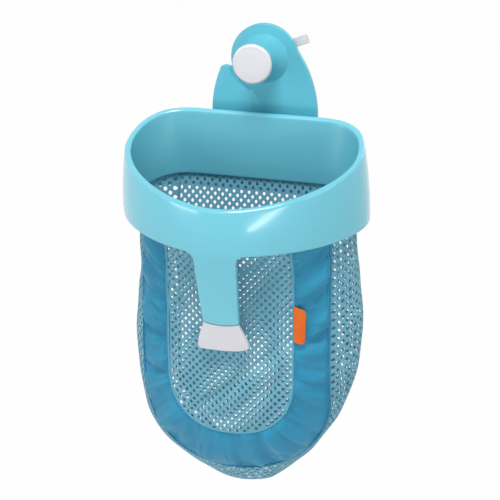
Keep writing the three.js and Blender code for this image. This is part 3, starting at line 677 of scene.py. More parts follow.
# %% [markdown]
# ## The bracket
# The wall bracket is a thin satin plate: a disc over a wider arch, parted on the left by a groove
# that follows the disc. One face is drawn on the whole outline with the groove as a notch, then
# extruded and bevelled. A boolean cut would leave long thin faces along the groove.

# %% Outline of the plate
DISC_Z, DISC, LOBE_DROP, LOBE_ROUND, GROOVE = -4.4, 36.0, 10.0, 4.6, 3.4
ARCH_Z, ARCH_HALF, ARCH_RISE, ARCH_POWER = -60.8, 56.8, 88.7, 1.8
TAIL, TAIL_CORNER = 79.3, 14.0
RIGHT_STEPS, DISC_STEPS, LOBE_STEPS, LEFT_STEPS = 14, 61, 10, 13
SHOULDER, SHOULDER_EASING = 40, 6
GROOVE_END = math.radians(245)
STEP_Z = DISC_Z - LOBE_DROP


def arc(radius, start, end, count, x=0.0, z=DISC_Z):
    """Points on an arc about the disc's centre, or about another one"""
    turns = [start + (end - start) * i / (count - 1) for i in range(count)]
    return [(x + radius * math.cos(t), z + radius * math.sin(t)) for t in turns]


def arch_half(z, inset=0.0):
    """Half the arch's width at a height"""
    share = min((z - ARCH_Z) / (ARCH_RISE - inset), 1.0)
    return (ARCH_HALF - inset) * (1 - share ** ARCH_POWER) ** (1 / ARCH_POWER)


def plate_outline(inset, notched):
    """Counter-clockwise seen from the front, from the foot of the arch on the right"""
    radius, step_z, outer = DISC - inset, STEP_Z - inset, DISC + GROOVE
    dip, lobe_drop = math.asin((LOBE_DROP + inset) / radius), LOBE_DROP + LOBE_ROUND
    rise = [step_z + (ARCH_Z - step_z) * (1 - i / RIGHT_STEPS) for i in range(RIGHT_STEPS)]
    line = [(arch_half(z, inset), z) for z in rise]
    disc = arc(radius, -dip, math.pi + dip, DISC_STEPS)
    line += [(max(x, arch_half(z, inset)) if x > 0 else x, z) for x, z in disc]
    for _ in range(SHOULDER_EASING):
        threes = list(zip(line, line[1:], line[2:]))[:SHOULDER - 1]
        eased = [tuple((a + 2 * b + c) / 4 for a, b, c in zip(*three)) for three in threes]
        line[1:SHOULDER] = eased
    if notched:
        line += arc(DISC, math.pi + dip, GROOVE_END, 18)[1:]
        middle = (DISC + GROOVE / 2) * Vector((math.cos(GROOVE_END), math.sin(GROOVE_END)))
        back, ahead = GROOVE_END - math.pi, GROOVE_END - math.pi * 2
        line += arc(GROOVE / 2, back, ahead, 7, middle.x, DISC_Z + middle.y)[1:-1]
        line += arc(outer, GROOVE_END, math.pi + math.asin(lobe_drop / outer), 20)[:-1]
    middle_z = STEP_Z - LOBE_ROUND
    left, right = -arch_half(middle_z, inset), -math.sqrt(outer ** 2 - lobe_drop ** 2)
    for i in range(LOBE_STEPS + 1):
        turn = math.pi * i / LOBE_STEPS
        if notched or i > 2:
            across = (left + right) / 2 + (right - left) / 2 * math.cos(turn)
            line.append((across, middle_z + (LOBE_ROUND - inset) * math.sin(turn)))
    fall = [middle_z + (ARCH_Z - middle_z) * i / LEFT_STEPS for i in range(1, LEFT_STEPS + 1)]
    line += [(-arch_half(z, inset), z) for z in fall]
    corner, low = TAIL_CORNER - inset, ARCH_Z - TAIL + TAIL_CORNER
    line += arc(corner, math.pi, math.pi * 1.5, 8, TAIL_CORNER - ARCH_HALF, low)
    line += arc(corner, math.pi * 1.5, math.pi * 2, 8, ARCH_HALF - TAIL_CORNER, low)
    return line


def flat_row(outline, depth):
    """An outline's points at a distance from the wall"""
    return [Vector((x, -depth, z)) for x, z in outline]


# %% Plate, its edge wall and the floor of the groove
PLATE_BACK, PLATE_FRONT, PLATE_EDGE, PLATE_WALL, PLATE_LAP = 12.4, 15.0, 9.0, 2.6, 12.6
plate = bmesh.new()
face_row = [plate.verts.new(p) for p in flat_row(plate_outline(0.0, True), PLATE_BACK)]
plate_face = plate.faces.new(face_row)
front_skin = bmesh.ops.extrude_face_region(plate, geom=[plate_face])["geom"]
front_verts = [g for g in front_skin if isinstance(g, bmesh.types.BMVert)]
bmesh.ops.translate(plate, vec=Vector((0, PLATE_BACK - PLATE_FRONT, 0)), verts=front_verts)
bevelled(plate, [g for g in front_skin if isinstance(g, bmesh.types.BMEdge)], 1.1, 3)
section = [(0.1, PLATE_LAP), (0.1, PLATE_EDGE), (PLATE_WALL, PLATE_EDGE), (PLATE_WALL, PLATE_LAP)]
wall_loops = loft(plate, [flat_row(plate_outline(inset, False), depth) for inset, depth in section])
bmesh.ops.bridge_loops(plate, edges=row_edges(wall_loops[0]) + row_edges(wall_loops[-1]))


def swept_arc(bm, inner, outer, start, end, back, front, steps):
    """A bar with a square section along an arc about the disc's centre"""
    spots = [(inner, back), (outer, back), (outer, front), (inner, front)]
    rows = []
    for i in range(steps):
        turn = start + (end - start) * i / (steps - 1)
        x, z = math.cos(turn), math.sin(turn)
        rows.append([Vector((r * x, -d, DISC_Z + r * z)) for r, d in spots])
    loops = loft(bm, rows)
    for loop in (loops[0], loops[-1]):
        bmesh.ops.contextual_create(bm, geom=row_edges(loop))


GROOVE_START, FLOOR_LAP, FLOOR_BACK, FLOOR_FRONT = math.radians(196), 1.5, 9.2, 13.2
swept_arc(
    plate, DISC - FLOOR_LAP, DISC + GROOVE + FLOOR_LAP, GROOVE_START, GROOVE_END + 0.09,
    FLOOR_BACK, FLOOR_FRONT, 20)


# %% [markdown]
# ## Turned pieces
# Boss, knob, cap and cup are turned about the knob's axis, so each is a profile of radius and
# distance from the wall, spun through a full circle. The boss's foot sits lower than its neck:
# after the spin its rows slide down in proportion.

# %% Spinning a profile
def turned(bm, profile, steps=72, closed=True):
    """Spins a line of (radius, distance from the wall) about the knob's axis"""
    before = set(bm.verts)
    line = [bm.verts.new((radius, -depth, 0)) for radius, depth in profile]
    pairs = zip(line, line[1:] + line[:1] if closed else line[1:])
    geom = line + [bm.edges.new(pair) for pair in pairs]
    axis, whole = Vector((0, 1, 0)), math.pi * 2
    bmesh.ops.spin(
        bm, geom=geom, cent=Vector(), axis=axis, angle=whole, steps=steps, use_merge=True)
    made = [v for v in bm.verts if v not in before]
    bmesh.ops.remove_doubles(bm, verts=made, dist=0.0005)
    return [v for v in bm.verts if v not in before]


def rounded_corner(radius, depth, size, start, steps=5):
    """A quarter circle of a profile about (radius, depth), from a start angle"""
    turns = [start + math.pi / 2 * i / steps for i in range(steps + 1)]
    return [(radius + size * math.cos(t), depth + size * math.sin(t)) for t in turns]


# %% Boss, press ring, sleeve and hook
BOSS_FOOT, BOSS_NECK, BOSS_HEIGHT, BOSS_DROP, BOSS_FLARE = 25.5, 12.5, 32.0, 4.4, 2.4
BORE, NECK_EDGE = 4.3, 0.6
shares = [i / 18 for i in range(19)]
flare = [(1 - share) ** BOSS_FLARE for share in shares]
flare = [BOSS_NECK + (BOSS_FOOT - BOSS_NECK) * wide for wide in flare]
boss_top = PLATE_FRONT + BOSS_HEIGHT
boss_profile = [(BORE, PLATE_LAP), (BOSS_FOOT, PLATE_LAP)]
boss_profile += [(r, PLATE_FRONT + BOSS_HEIGHT * share) for r, share in zip(flare, shares)][:-1]
boss_profile += rounded_corner(BOSS_NECK - NECK_EDGE, boss_top - NECK_EDGE, NECK_EDGE, 0.0)
boss_profile += [(BORE, boss_top)]
for vert in turned(plate, boss_profile):
    share = min(max((-vert.co.y - PLATE_FRONT) / BOSS_HEIGHT, 0.0), 1.0)
    if math.hypot(vert.co.x, vert.co.z) > BORE + 0.2:
        vert.co.z -= BOSS_DROP * (1 - share)
for inner, outer, start in ((25.0, 27.2, 3.0), (BORE, 6.5, 9.0)):
    turned(plate, [(inner, start), (outer, start), (outer, PLATE_LAP), (inner, PLATE_LAP)])
HOOK_TONGUE = (-28.0, -24.0, -132.0), (28.0, -20.4, -99.0)
HOOK_FLOOR = (-28.0, -24.0, -132.0), (28.0, -13.4, -129.0)
for corners in (HOOK_TONGUE, HOOK_FLOOR):
    add_block(plate, *corners, 0.8)
facing_out(plate)
bracket_shell = piece(plate, "bracket_shell", "bracket", bracket_satin, 32)
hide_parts("bracket_plate")

# %% Knob and its cap
knob = bmesh.new()
FINE_STEPS, KNOB_HALF, KNOB_EDGE = 96, 20.5, 3.0
knob_profile = [(BORE, 48.8), (14.9, 48.8)] + rounded_corner(15.3, 49.9, 1.1, -math.pi / 2)
knob_profile += [(17.6, 52.6), (19.3, 55.6)]
knob_profile += rounded_corner(KNOB_HALF - KNOB_EDGE, 59.3, KNOB_EDGE, 0.0, 9)
knob_profile += [(16.9, 62.2), (16.84, 62.1), (16.84, 59.7), (14.2, 59.7)]
knob_profile += [(14.2, 57.8), (7.3, 57.8), (7.3, 50.8), (BORE, 50.8)]
turned(knob, knob_profile, FINE_STEPS)
facing_out(knob)
knob_body = piece(knob, "knob_body", "knob", white_satin, 40)
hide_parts("lock_knob")
cap = bmesh.new()
cap_profile = [(0.0, 60.0), (16.75, 60.0), (16.78, 62.05), (16.72, 62.18), (16.5, 62.22)]
cap_profile += [(8.0, 62.26), (0.0, 62.26)]
turned(cap, cap_profile, FINE_STEPS, closed=False)
facing_out(cap)
knob_face = piece(cap, "knob_face", "knob", white_satin, 40)
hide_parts("knob_cap")
print("knob diameter:", 2 * KNOB_HALF, "mm")

# %% [markdown]
# ## The suction cup
# Clear vinyl, soft enough that the stud pulls its middle off the wall while its edge stays. It sits
# between the bracket's body at the wall and the stud's body 9 mm in front of it, and rides on
# neither: the body that it was given is taken off again.

# %% Cup and pull tab
cup = bmesh.new()
cup_profile = [(0.0, 2.2), (8.0, 2.1), (15.0, 1.7), (21.0, 1.0), (25.6, 0.3), (27.6, 0.0)]
cup_profile += rounded_corner(27.9, 0.7, 0.7, -math.pi / 2, 4)
cup_profile += [(26.2, 1.9), (20.0, 3.4), (15.9, 4.8), (13.6, 6.4), (12.5, 8.1)]
cup_profile += [(12.2, 8.4), (9.3, 8.4), (0.0, 8.4)]
turned(cup, cup_profile, FINE_STEPS, closed=False)
TAB_TURN = Matrix.Rotation(-math.radians(21), 4, "Y")
TAB_START, TAB_END, TAB_THIN_FROM, TAB_THINNER = 22.0, 46.5, 40, 1.1
before_tab = set(cup.verts)
add_block(cup, (TAB_START, -4.6, -4.8), (TAB_END, -1.4, 4.8), 0.9)
tab_verts = [v for v in cup.verts if v not in before_tab]
for vert in tab_verts:
    if vert.co.x > TAB_THIN_FROM and vert.co.y < -3:
        vert.co.y += TAB_THINNER * (vert.co.x - TAB_THIN_FROM) / (TAB_END - TAB_THIN_FROM)
bmesh.ops.transform(cup, matrix=TAB_TURN, verts=tab_verts)
facing_out(cup)
cup_skin = piece(cup, "cup_skin", "bracket", clear_vinyl, 40)
cup_skin.parent = None
del cup_skin["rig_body"]
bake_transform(cup_skin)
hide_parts("suction_cup")

# %% Finishes of the CAD pieces that stay
kept = {f"ring_screw_{number}": steel_finish for number in range(1, 9)}
kept.update(cup_stud=steel_finish, knob_insert=brass_finish)
kept.update(thrust_washer=white_satin, bag_ring=white_satin)
for name, material in kept.items():
    frame["nodes"][name].material_slots[0].material = material
print("kept CAD nodes:", len(kept))

# %% [markdown]
# ## The form that carries the cloth
# A bag is a lofted shell that sags, not flat panels. Its rings are drawn at a few levels, and a
# smooth curve through the levels fills in the rest. This form is never shown: it is a tree of faces
# that rays hit, so that each panel, cut flat, can be laid on it like cloth on a tailor's dummy.

# %% Rings of the bag
BAG_HALF, BAG_DROP, BAG_DEPTH, BAG_SWAY = 121.4, 330.5, 113.0, 8.0
BAG_WIDEST, BAG_TOP = 54.0, -126.3
BAG_COLUMNS = {"back": 8, "corner": 20, "front": 36}
LEVELS = [  # drop, half width, sway, back, front, widest place, slope, corner and roundness
    (-0.050, 0.9605, 0.00, -0.008, 1.280, 0.994, 1.00, 0.385, 1.76),
    (0.000, 0.9605, 0.00, -0.008, 1.280, 0.994, 1.00, 0.385, 1.76),
    (0.086, 0.938, 0.46, 0.044, 1.159, 1.00, 0.77, 0.37, 1.85),
    (0.145, 0.947, 0.58, 0.071, 1.097, 1.00, 0.50, 0.37, 1.85),
    (0.244, 0.963, 0.88, 0.080, 1.035, 1.00, 0.25, 0.37, 1.85),
    (0.362, 0.994, 0.82, 0.080, 1.000, 1.00, 0.00, 0.37, 1.85),
    (0.470, 1.004, 0.60, 0.080, 1.000, 1.00, 0.00, 0.37, 1.85),
    (0.585, 0.968, 0.25, 0.080, 0.982, 1.00, 0.00, 0.37, 1.85),
    (0.690, 0.899, -0.15, 0.080, 0.947, 1.00, 0.00, 0.37, 1.85),
    (0.765, 0.820, -0.75, 0.088, 0.894, 0.98, 0.00, 0.37, 1.85),
    (0.845, 0.692, -1.00, 0.124, 0.805, 0.93, 0.00, 0.37, 1.85),
    (0.904, 0.530, -0.90, 0.177, 0.699, 0.87, 0.00, 0.37, 1.85),
    (0.950, 0.370, -0.35, 0.239, 0.584, 0.83, 0.00, 0.37, 1.85),
    (0.985, 0.228, 0.10, 0.319, 0.487, 0.83, 0.00, 0.37, 1.85),
    (1.000, 0.004, 0.30, 0.399, 0.401, 0.837, 0.00, 0.37, 1.85),
]


def level_at(place):
    """The table's row at a place between rows, on a Catmull-Rom curve"""
    i = min(int(place), len(LEVELS) - 2)
    t = place - i
    rows = [LEVELS[min(max(k, 0), len(LEVELS) - 1)] for k in (i - 1, i, i + 1, i + 2)]
    weights = (
        -t ** 3 + 2 * t ** 2 - t, 3 * t ** 3 - 5 * t ** 2 + 2,
        -3 * t ** 3 + 4 * t ** 2 + t, t ** 3 - t ** 2)
    return [sum(w * r[k] for w, r in zip(weights, rows)) / 2 for k in range(len(LEVELS[0]))]


def bag_ring_row(place):
    """The bag's section at a place in the table, as shares of its width, depth and drop"""
    drop, half, sway, back, front, widest, slope, corner, power = level_at(place)
    half, back_y = BAG_HALF * half, WALL_SIDE - BAG_DEPTH * back
    wide_y = WALL_SIDE - BAG_WIDEST * widest
    front_depth = wide_y - WALL_SIDE + BAG_DEPTH * front
    outline = d_shape(
        half, back_y, half * corner, back_y - wide_y, front_depth, power, 2.0, BAG_SWAY * sway)
    plane = {"z": BAG_TOP - BAG_DROP * drop, "slope": LEDGE_PLANE["slope"] * slope}
    return d_row(outline, plane, BAG_COLUMNS, 3)


TOP_OUT, FINER = 3.9, 6
FAR_IN_FRONT, FAR_BEHIND = -400, 50
form = bmesh.new()
loft(form, [bag_ring_row(place / FINER) for place in range(FINER * (len(LEVELS) - 1) + 1)])
form_tree = BVHTree.FromBMesh(form)
form.free()


def on_front(x, z):
    """Where the form's front stands at a width and a height"""
    hit = form_tree.ray_cast(Vector((x, FAR_IN_FRONT, z)), Vector((0, 1, 0)))[0]
    return hit or form_tree.find_nearest(Vector((x, -100, z)))[0]


def on_back(x, z):
    """Where the form's back stands at a width and a height"""
    hit = form_tree.ray_cast(Vector((x, FAR_BEHIND, z)), Vector((0, -1, 0)))[0]
    return hit or form_tree.find_nearest(Vector((x, -60, z)))[0]


def top_edge(x):
    """Height of the bag's upper edge in front, at a width"""
    edge = grown(LEDGE, TOP_OUT)
    share = min(abs(x) / edge["half"], 1.0) ** edge["power"]
    y = edge["back"] - edge["corner_y"] - edge["front"] * (1 - share) ** (1 / edge["power"])
    return BAG_TOP + LEDGE_PLANE["slope"] * (y - WALL_SIDE)


def under_rim(x, z):
    """A place on the form's front that doesn't climb past the bag's upper edge"""
    return on_front(x, min(z, top_edge(x)))


print("front of the bag at half height:", [round(v, 1) for v in on_front(0, -290)])

# %% [markdown]
# ## Cutting lines
# The front has a U-shaped window of mesh in a U of woven nylon; the back is one U of mesh, and a
# long strip of mesh joins front and back. Each U is a straight-sided line with a rounded foot.

# %% U-shaped cutting lines
WINDOW_TOP, PANEL_TOP, BACK_TOP = -140.0, -138.0, -120.0
WINDOW_SIZE, PANEL_SIZE, BACK_SIZE = (132.0, 232.0), (204.0, 290.0), (168.0, 304.0)
GATHER_LOW, GATHER_HEIGHT, FLARE_LOW, FLARE_HEIGHT = -215, 75, -371, 231
BEND_STEPS = 80
WINDOW = {"half": 66.0, "bend": -303.0, "deep": 68.0, "power": 2.4, "tuck": 13.0, "flare": 0.04}
PANEL = {"half": 101.0, "bend": -328.0, "deep": 96.0, "power": 2.2, "tuck": 20.0, "flare": 0.0}
BACK = {"half": 84.0, "bend": -340.0, "deep": 84.0, "power": 2.2, "tuck": 0.0, "flare": 0.0}


def evenly(line, count):
    """The same line with its points evenly spaced along it"""
    line = [Vector(p) for p in line]
    reach = [0.0]
    for a, b in zip(line, line[1:]):
        reach.append(reach[-1] + (b - a).length)
    spaced, k = [], 0
    for i in range(count):
        target = reach[-1] * i / (count - 1)
        while k < len(line) - 2 and reach[k + 1] < target:
            k += 1
        share = (target - reach[k]) / max(reach[k + 1] - reach[k], 1e-9)
        spaced.append(line[k].lerp(line[k + 1], min(share, 1.0)))
    return spaced


def gathered_in(shape, x, z):
    """The left side is tucked in below the rim by the hem's gathers, the right side flares"""
    if x < 0:
        return x + shape["tuck"] * min(1.0, max(0.0, (z - GATHER_LOW) / GATHER_HEIGHT)) ** 1.8
    return x * (1 + shape["flare"] * (z - FLARE_LOW) / FLARE_HEIGHT)


def u_line(shape, top, count, out=0.0):
    """From the upper left down, round the foot and up again, moved outwards by a distance"""
    half, deep = shape["half"] + out, shape["deep"] + out
    line = [(-half, top), (-half, (top + shape["bend"]) / 2)]
    for i in range(BEND_STEPS + 1):
        turn = math.pi * i / BEND_STEPS
        x = -half * math.copysign(abs(math.cos(turn)) ** (2 / shape["power"]), math.cos(turn))
        line.append((x, shape["bend"] - deep * math.sin(turn) ** (2 / shape["power"])))
    line += [(half, (top + shape["bend"]) / 2), (half, top)]
    line = evenly(line, 4 * count)
    return evenly([(gathered_in(shape, p.x, p.y), p.y) for p in line], count)


INSIDE = Vector((0, -100, -260))


def lifted(bm, lift):
    """Moves each vertex along its normal by its own lift; lift is a dictionary by vertex"""
    bm.normal_update()
    moved = [(v, v.co + v.normal * lift[v]) for v in bm.verts]
    for vert, place in moved:
        vert.co = place


def turned_out(bm):
    """Turns the sheet's faces away from a point inside the bag"""
    bm.normal_update()
    areas = {f: f.calc_area() for f in bm.faces}
    outward = [f for f in bm.faces if f.normal.dot(f.calc_center_median() - INSIDE) > 0]
    if sum(areas[f] for f in outward) < sum(areas.values()) / 2:
        bmesh.ops.reverse_faces(bm, faces=bm.faces)
        bm.normal_update()


def cloth_uv(bm, flat):
    """Stores each vertex's place on the flat cloth, in metres, as the weave's UV map"""
    layer = bm.loops.layers.uv.new("cloth")
    for face in bm.faces:
        for loop in face.loops:
            loop[layer].uv = flat[loop.vert] * MM


# %% [markdown]
# ## Finishes of the cloth
# The woven nylon is a tight plain weave: two sets of threads cross, and each crossing lifts a
# little. Two wave textures on the cloth's UV map, or in the object's space on the narrow tapes and
# the net, draw them, and slow noise makes the dye uneven. The sheen socket gives the pale edge that
# cloth shows where it turns away from the eye.

# %% Cloth materials
def soft_cloth(name, dark, light, rough, thread, lift, source="Object", sheen=0.12):
    """Threads as wide as thread, each crossing lifted by lift, both in metres"""
    more = {"Sheen_Weight": sheen, "Sheen_Roughness": 0.45, "Specular_IOR_Level": 0.3}
    material = new_finish(name, light, rough, **more)
    inputs = {"Vector": place_on(material, source), "Scale": 1.0 / thread}
    inputs.update(Distortion=0.4, Detail=1.0)
    crossings = {}
    for index, direction in enumerate("XY"):
        wave = add_node(material, "ShaderNodeTexWave", inputs, bands_direction=direction)
        crossings[index] = wave.outputs["Fac"]
    weave = add_node(material, "ShaderNodeMath", crossings, operation="MULTIPLY").outputs[0]
    slow = speckle(material, 26.0, 4.0)
    blended = add_node(material, "ShaderNodeMix", {"Factor": 0.25, "A": slow, "B": weave})
    tone = tones(material, blended.outputs["Result"], dark, light, 0.2, 0.75)
    feed(material, "Base Color", tone)
    feed(material, "Roughness", spread(material, slow, rough - 0.08, rough + 0.08))
    relief(material, weave, lift)
    return material


woven_nylon = soft_cloth("woven_nylon", "1c80a4", "2e96bc", 0.46, 0.0021, 0.00012, "UV", 0.08)
# The seam tapes' cloth is darker than the woven nylon: painted shadow of the gathered seams
seam_cloth_painted_shadow = soft_cloth("seam_cloth_painted_shadow", "1b799f", "298bb2", 0.5, 0.0021, 0.0001)
knit_mesh = soft_cloth("knit_mesh", "609db3", "77b3c5", 0.6, 0.0016, 0.0001)
hem_tape = soft_cloth("hem_tape", "549fb8", "68afc6", 0.6, 0.0016, 0.0001)
label_ribbon = soft_cloth("label_ribbon", "dc5a05", "ee780f", 0.4, 0.0011, 0.00008, "UV")
seam_thread = soft_cloth("seam_thread", "1f6f96", "2f86ac", 0.55, 0.0009, 0.00005)
print("nodes in the woven nylon:", len(woven_nylon.node_tree.nodes))

# %% [markdown]
# ## Knitted mesh with real holes
# The net is cut flat. A square grid turned by 45 degrees already has the staggered order of the
# holes, so it is stretched to their pitch and trimmed to the cutting line with bisect_plane. Every
# whole cell is inset, its middle deleted, and subdivision later rounds the four-sided hole.

# %% Net on the table
HOLE_PITCH, ROW_PITCH, YARN = 8.2, 4.5, 1.12
BACK_YARN = YARN + 0.25
WHOLE_CELL, NET_WALL = 0.62, 0.8
FRONT_NET, FRONT_MIDDLE, BACK_MIDDLE, U_POINTS = (132, 240), -255, -272, 61


def net(width, height):
    """A flat net of uncut cells around the origin, wide enough to trim"""
    count = math.ceil((width + height) / 2 / min(HOLE_PITCH / 2, ROW_PITCH)) + 2
    bm = bmesh.new()
    bmesh.ops.create_grid(bm, x_segments=count, y_segments=count, size=count / 2)
    bmesh.ops.rotate(bm, cent=Vector(), matrix=Matrix.Rotation(math.pi / 4, 3, "Z"), verts=bm.verts)
    stretch = Vector((HOLE_PITCH, 2 * ROW_PITCH, 1)) / math.sqrt(2)
    bmesh.ops.scale(bm, vec=Vector((stretch.x, stretch.y, 1)), verts=bm.verts)
    return bm


def trim(bm, outline):
    """Cuts away what lies outside a convex outline, counter-clockwise"""
    for a, b in zip(outline, outline[1:] + outline[:1]):
        if (b - a).length < 0.01:
            continue
        outward = Vector((b.y - a.y, a.x - b.x, 0)).normalized()
        bmesh.ops.bisect_plane(
            bm, geom=bm.verts[:] + bm.edges[:] + bm.faces[:], plane_co=Vector((a.x, a.y, 0)),
            plane_no=outward, dist=0.02, clear_outer=True)
    bmesh.ops.remove_doubles(bm, verts=bm.verts, dist=0.05)


def punched(bm, yarn=YARN, wide=0.96, tall=1.12):
    """Opens an upright oval in every cell that the trimming left nearly whole"""
    whole = WHOLE_CELL * (HOLE_PITCH * ROW_PITCH)
    cells = [f for f in bm.faces if f.calc_area() > whole]
    bmesh.ops.inset_individual(bm, faces=cells, thickness=yarn, use_even_offset=True)
    for cell in cells:
        centre = cell.calc_center_median()
        for vert in cell.verts:
            vert.co = centre + (vert.co - centre) * Vector((wide, tall, 1.0))
    bmesh.ops.delete(bm, geom=cells, context="FACES")
    print("holes:", len(cells))


def cut_net(line, width, height, middle, yarn=YARN):
    """A net as large as width and height, its middle at a height, trimmed to a line and punched"""
    bm = net(width, height)
    bmesh.ops.translate(bm, vec=Vector((0, middle, 0)), verts=bm.verts)
    trim(bm, line)
    punched(bm, yarn)
    return bm


def net_piece(bm, lifts, name, node):
    """The finished net: faces turned out, folds lifted, yarn thickness, round holes"""
    turned_out(bm)
    lifted(bm, lifts)
    made = softened(walled(piece(bm, name, "scoop", knit_mesh), NET_WALL))
    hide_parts(node)
    return made


# %% Folds pressed into the cloth
def ridge(distance, width):
    """1 on a line, falling smoothly to 0 at a width from it"""
    return math.exp(-(distance / width) ** 2)


def off_line(x, z, a, b):
    """Signed distance from the line through a and b, and how far between them a point lies"""
    run = Vector((b[0] - a[0], b[1] - a[1]))
    away = Vector((x - a[0], z - a[1]))
    return run.cross(away) / run.length, away.dot(run) / run.length_squared


def crease(x, z, a, b, depth, width):
    """A valley between two points with a soft bulge on both sides of it"""
    distance, along = off_line(x, z, a, b)
    fade = max(0.0, min(1.0, 4 * along + 0.6, 4 * (1 - along) + 0.6))
    bulge = 0.5 * depth * ridge(abs(distance) - 2.2 * width, 1.4 * width)
    return fade * (-depth * ridge(distance, width) + bulge)


CREASES = [  # from, to, depth and width
    ((66, -255), (-30, -345), 2.6, 6.0),
    ((-64, -215), (-18, -262), 1.6, 5.0),
    ((58, -300), (5, -352), 1.2, 5.0),
]


def window_lift(x, z):
    """The creases of the front net and its slow waves"""
    waves = 1.1 * noise.noise(Vector((x / 42, z / 42, 3.0)))
    return sum(crease(x, z, *valley) for valley in CREASES) + waves


# %% Front window of mesh
front_net = cut_net(u_line(WINDOW, WINDOW_TOP, U_POINTS), *FRONT_NET, FRONT_MIDDLE)
lifts = {}
for vert in front_net.verts:
    x, z = vert.co.x, min(vert.co.y, top_edge(vert.co.x))
    vert.co = on_front(x, z)
    lifts[vert] = window_lift(x, z)
front_mesh = net_piece(front_net, lifts, "front_window_net", "bag_front_mesh")

# %% Back panel of mesh
back_net = cut_net(u_line(BACK, BACK_TOP, U_POINTS), *BACK_SIZE, BACK_MIDDLE, BACK_YARN)
lifts = {}
for vert in back_net.verts:
    x, z = vert.co.x, min(vert.co.y, BAG_TOP)
    vert.co = on_back(x, z)
    lifts[vert] = 0.9 * noise.noise(Vector((x / 38, z / 38, 9.0)))
back_mesh = net_piece(back_net, lifts, "back_panel_net", "bag_back_panel")

# %% [markdown]
# ## The strip that joins front and back
# The gusset is one long strip. At each step along the seams a fan of rays between the front seam
# and the back seam finds the form, and the hits, evenly spaced, become a row of a table. The flat
# net is then laid on that table: its length runs along the seams, its width from front to back.

# %% Table of the gusset
STEPS, ACROSS, EYE_DEPTH = 170, 24, 62
BAG_HEART = Vector((0, 0, -300))
front_seam = [under_rim(*p) for p in u_line(PANEL, top_edge(PANEL["half"]), STEPS + 1)]
back_seam = [on_back(*p) for p in u_line(BACK, BAG_TOP - 1.0, STEPS + 1)]


def length_of(line):
    """Length of a line of points"""
    return sum((a - b).length for a, b in zip(line, line[1:]))


def gusset_row(i):
    """Points from the front seam to the back seam, where rays from inside the bag meet the form"""
    start, end = front_seam[i], back_seam[i]
    a, b = max(i - 1, 0), min(i + 1, STEPS)
    run = (front_seam[b] - front_seam[a]) + (back_seam[b] - back_seam[a])
    out = Vector((run.z, 0, -run.x)).normalized()
    if out.dot(Vector((start.x + end.x, 0, start.z + end.z)) / 2 - BAG_HEART) < 0:
        out = -out
    eye = (start + end) / 2 - out * EYE_DEPTH
    line = [start]
    for k in range(1, ACROSS):
        aim = start.lerp(end, k / ACROSS)
        hit = form_tree.ray_cast(eye, (aim - eye).normalized())[0]
        line.append(hit or aim)
    return evenly(line + [end], ACROSS + 1)


gusset_table = [gusset_row(i) for i in range(STEPS + 1)]
GUSSET_LENGTH = length_of(front_seam)
GUSSET_WIDTH = sum(length_of(row) for row in gusset_table) / len(gusset_table)
print("gusset strip:", round(GUSSET_LENGTH), "x", round(GUSSET_WIDTH), "mm")


def on_gusset(share, across):
    """A place on the gusset, along the seams and from front to back, both from 0 to 1"""
    u, v = min(max(share, 0.0), 0.9999) * STEPS, min(max(across, 0.0), 0.9999) * ACROSS
    i, k = int(u), int(v)
    near = gusset_table[i][k].lerp(gusset_table[i][k + 1], v - k)
    far = gusset_table[i + 1][k].lerp(gusset_table[i + 1][k + 1], v - k)
    return near.lerp(far, u - i)


# %% Gusset of mesh
strip = net(GUSSET_LENGTH, GUSSET_WIDTH)
quarter_turn = Matrix.Rotation(math.pi / 2, 3, "Z")
bmesh.ops.rotate(strip, cent=Vector(), matrix=quarter_turn, verts=strip.verts)
reach, breadth = GUSSET_LENGTH / 2, GUSSET_WIDTH / 2
corners = ((-reach, -breadth), (reach, -breadth), (reach, breadth), (-reach, breadth))
trim(strip, [Vector(corner) for corner in corners])
punched(strip, YARN, 1.1, 0.94)
lifts = {}
for vert in strip.verts:
    share, across = vert.co.x / GUSSET_LENGTH + 0.5, vert.co.y / GUSSET_WIDTH + 0.5
    fade = math.sin(math.pi * across)
    lifts[vert] = 1.6 * fade * noise.noise(Vector((share * 22, across * 1.6, 5.0)))
    vert.co = on_gusset(share, across)
gusset_mesh = net_piece(strip, lifts, "side_gusset_net", "bag_gusset")

# %% [markdown]
# ## The woven U with its puckers
# Nylon sewn to a stretchy net gathers along both seams: short folds start at each seam and die out
# towards the middle of the band. The U is a grid bent from the window's line to the panel's, and
# noise that is stretched across the band and leans with it lifts the folds.

# %% Woven panel
WOVEN_STEPS, WOVEN_ACROSS, U_LENGTH, LEAN, CLOTH_WALL = 460, 24, 620.0, 40.0, 0.7
SEWN_X, SEWN_Z, SEWN_WIDE, SEWN_HIGH, SEWN_CALM = 72, -242, 14, 30, 0.8


def puffed(x, y, seed):
    """Rounded swellings, parted by narrow valleys, from 0 to about 1"""
    return min(1.0, 2.2 * abs(noise.noise(Vector((x, y, seed)))) ** 0.85)


def woven_folds(along, across):
    """Puckers stretched across the band: wide swells, rounded puffs and fine wrinkles"""
    wide = 7.0 * noise.noise(Vector((along / 16, across * 0.7, 1.5)))
    puffs = 2.2 * puffed(along / 13, across * 1.1, 7.5)
    return wide + puffs + 2.2 * noise.noise(Vector((along / 7, across * 1.6, 4.5)))


